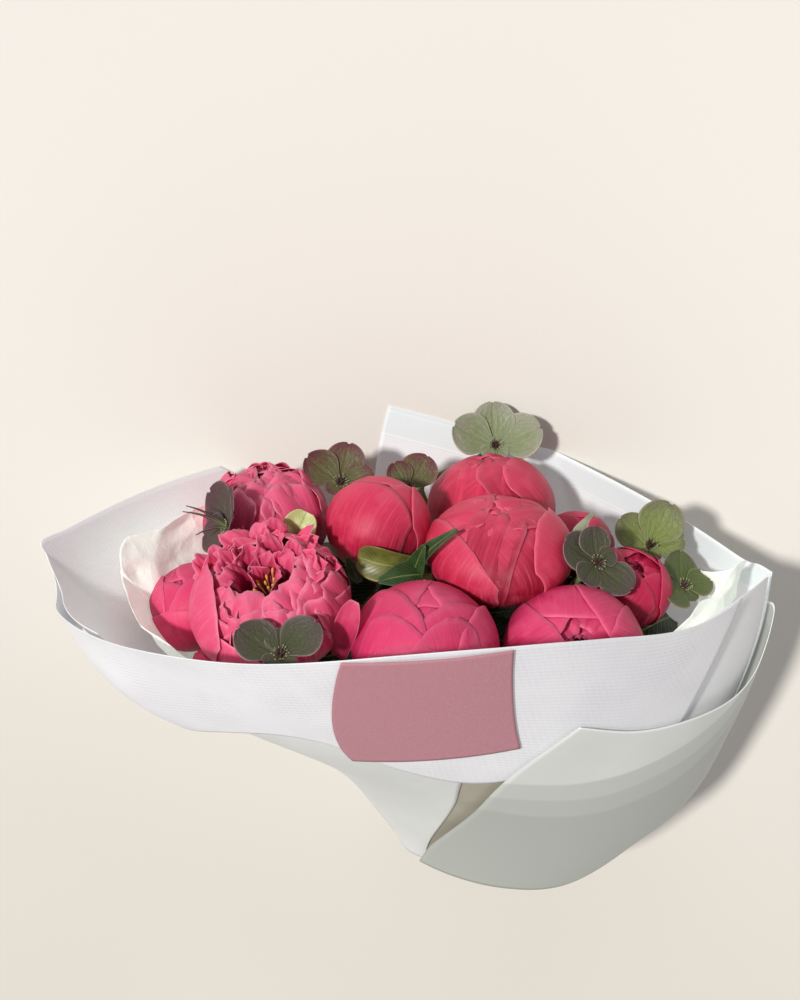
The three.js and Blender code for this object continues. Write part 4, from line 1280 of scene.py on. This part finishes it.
def leaf(start, end, normal, half, arch, curl=0.0, blunt=1.0):
    """A leaf from its start to its end, on the side of its rib that its normal shows: arched along
    the rib, with its sides raised and its tip curled. It is lance-shaped, half wide at each side
    of the rib, and the smaller blunt is, the rounder its end."""
    start, end = np.array(start, float), np.array(end, float)
    up = np.array(Vector(normal).normalized())
    rib = end - start
    aside = np.cross(rib, up)
    aside /= np.linalg.norm(aside)
    u, v = grid(40, 21)
    along = np.minimum(1, 0.08 + 0.88 * v ** (1 / blunt)) ** 0.8
    width = half * (0.10 + 0.90 * np.sin(along * np.pi) ** blunt)
    lift = arch * np.sin(v * np.pi) + 0.35 * width * u * u + 0.5 * np.sin(9 * v + 2 * u) * np.abs(u)
    lift = lift + curl * smooth(0.6, 1.0, v)
    spots = start + v[..., None] * rib + (u * width)[..., None] * aside
    return spots + lift[..., None] * up


def leaf_piece(name, leaves, tones, shine=0.5):
    """Leaves of one kind, in the tones of their flesh and margin."""
    piece = surfaces(name, leaves)
    thicken(piece, LEAF_THICKNESS)
    settle(piece, finish(name, {"Specular IOR Level": shine}, leaf_paint(*tones)), "stems")


LEAF_THICKNESS = 0.5 * MM

leaf_piece("dark_leaves", [
    leaf((4, -10, -8), (33, -18, 37), (-0.9, -0.6, 0.6), 5.5, 7),
    leaf((18, -13, -2), (-17, -33, 8), (0.1, -0.6, 0.8), 9, 4, -2),
    leaf((2, -10, -14), (12, -20, 26), (-0.3, -1, 0.2), 7, 3),
    leaf((-30, -6, -14), (-38, -8, 8), (0.1, -1, 0.4), 4, 1),
], ((0.012, 0.040, 0.010), (0.033, 0.080, 0.019), (0.055, 0.11, 0.03)))

leaf_piece("blushed_sepal", [
    leaf((8, -8, 0), (-31, -7, 8), (-0.1, -1, 0.35), 11.5, 7, 0, 0.42),
], ((0.09, 0.10, 0.02), (0.19, 0.19, 0.035), (0.20, 0.15, 0.04)))

leaf_piece("folded_sepal", [
    leaf((112, -7, 14), (125, 19, 25), (-0.75, -0.1, 0.7), 6, 3, 0, 0.8),
], ((0.20, 0.23, 0.16), (0.34, 0.36, 0.27), (0.42, 0.43, 0.33)))

leaf_piece("pale_bract", [
    leaf((-76, 22, -6), (-65, 14, 28), (-0.1, -1, 0.45), 11, 7, -4, 0.45),
    leaf((-71, 24, -8), (-70, 17, 25), (0.4, -0.9, 0.6), 10, 6, -3, 0.45),
], ((0.46, 0.52, 0.18), (0.66, 0.68, 0.36), (0.58, 0.60, 0.28)))

# Where the middle of each broad leaf is, seen from above the standing bouquet.
UNDER_LEAVES = [
    (-118, 42), (-122, -20), (-90, 10), (-67, -66), (-50, -45), (-41, 33), (-53, 65), (-27, 8),
    (10, 14), (15, -22), (25, 42), (40, -42), (62, -4), (62, -34), (85, 50), (100, -4), (118, 22),
    (131, 0), (140, -40), (145, 32), (165, -2),
]
under = []
for k, (x, y) in enumerate(UNDER_LEAVES):
    angle = np.radians(k * GOLDEN_ANGLE)
    reach = np.array([28 * np.cos(angle), 22 * np.sin(angle), chance.uniform(-6, 8)])
    middle = np.array([x, y, -37 - 0.14 * abs(x - 20)])
    under.append(leaf(middle - reach, middle + reach, (0, -0.4, 1), 15, 4))
# Nearly black leaves: their own dark green, deepened by painted shade in the gaps between the blooms.
leaf_piece(
    "shade_under_leaves", under, ((0.010, 0.028, 0.008), (0.022, 0.055, 0.014), (0.03, 0.07, 0.02)), shine=0.4
)


# ---------------------------------------------------------------- a loose petal
# One pale petal has come loose from the open bloom, and leans between two blooms at the front.

fallen = leaf((-42, -64, -30), (-30, -75, 24), (-0.3, -1, 0.5), 8, 3, 2, 0.6)
loose = surfaces("loose_petal", [fallen], [0.5])
thicken(loose, PETAL_THICKNESS)
settle(loose, petal_finishes["pink"], "petals")


# ---------------------------------------------------------------- the tie
# Jute twine is wound round the bundle TWINE_TURNS times and knotted on its front, with two short
# ends that hang down.

TWINE_TURNS = 4
KNOT_LOOPS = 1.6

apothem = 2 * STEM_PITCH * ROW_DEPTH + STEM / 2 + 0.45
turns = np.linspace(0, TWINE_TURNS, 60 * TWINE_TURNS + 1)
around = turns * 2 * np.pi
corner = (np.degrees(around) + 30) % 60 - 30
reach = apothem / np.cos(np.radians(corner) * 0.96) + TWINE / 2
rise = (turns / TWINE_TURNS - 0.5) * (TWINE_TURNS - 1) * TWINE
lean = np.array(Matrix.Rotation(-BACK_LEAN, 3, "X"))
centre = bundle_at(TIE_HEIGHT)
coil = np.stack([reach * np.sin(around), reach * np.cos(around), rise], -1) @ lean.T + centre
front = centre + lean @ np.array([0, -(apothem + TWINE), 0])
share = np.linspace(0, 1, 24)[:, None]
loop = share[:, 0] * 2 * np.pi * KNOT_LOOPS
knot = np.stack([3.2 * np.sin(loop), -0.8 + 0.9 * np.cos(loop * 1.5), 2.2 * np.cos(loop)], -1)
paths = [coil, front + knot @ lean.T]
for side in (-1, 0.6):
    paths.append(front + share * np.array([side * 15, -3.5, -20]) + share ** 2 * np.array([0, 2.5, -4]))
strands = [tube(path, np.full(len(path), TWINE / 2), 10) for path in paths]
tie = surfaces("twine", strands, flip=True)
close_seams(tie)


def twine_paint(value):
    uv = value.sheet_places()
    across, along = value.parts(uv)
    plies = (along * 1500 + across * 6.283).sine()
    fibres = value.noise(value.places(), 1500, 3.0)
    colour = (plies * 0.3 + fibres).between(0.2, 0.9).blend((0.30, 0.21, 0.11), (0.62, 0.50, 0.32))
    return {"Base Color": colour, "Normal": value.bump(plies + fibres * 0.7, 0.4 * MM, 0.8)}


settle(tie, finish("jute_twine", {"Roughness": 0.9}, twine_paint), "twine", "tie")
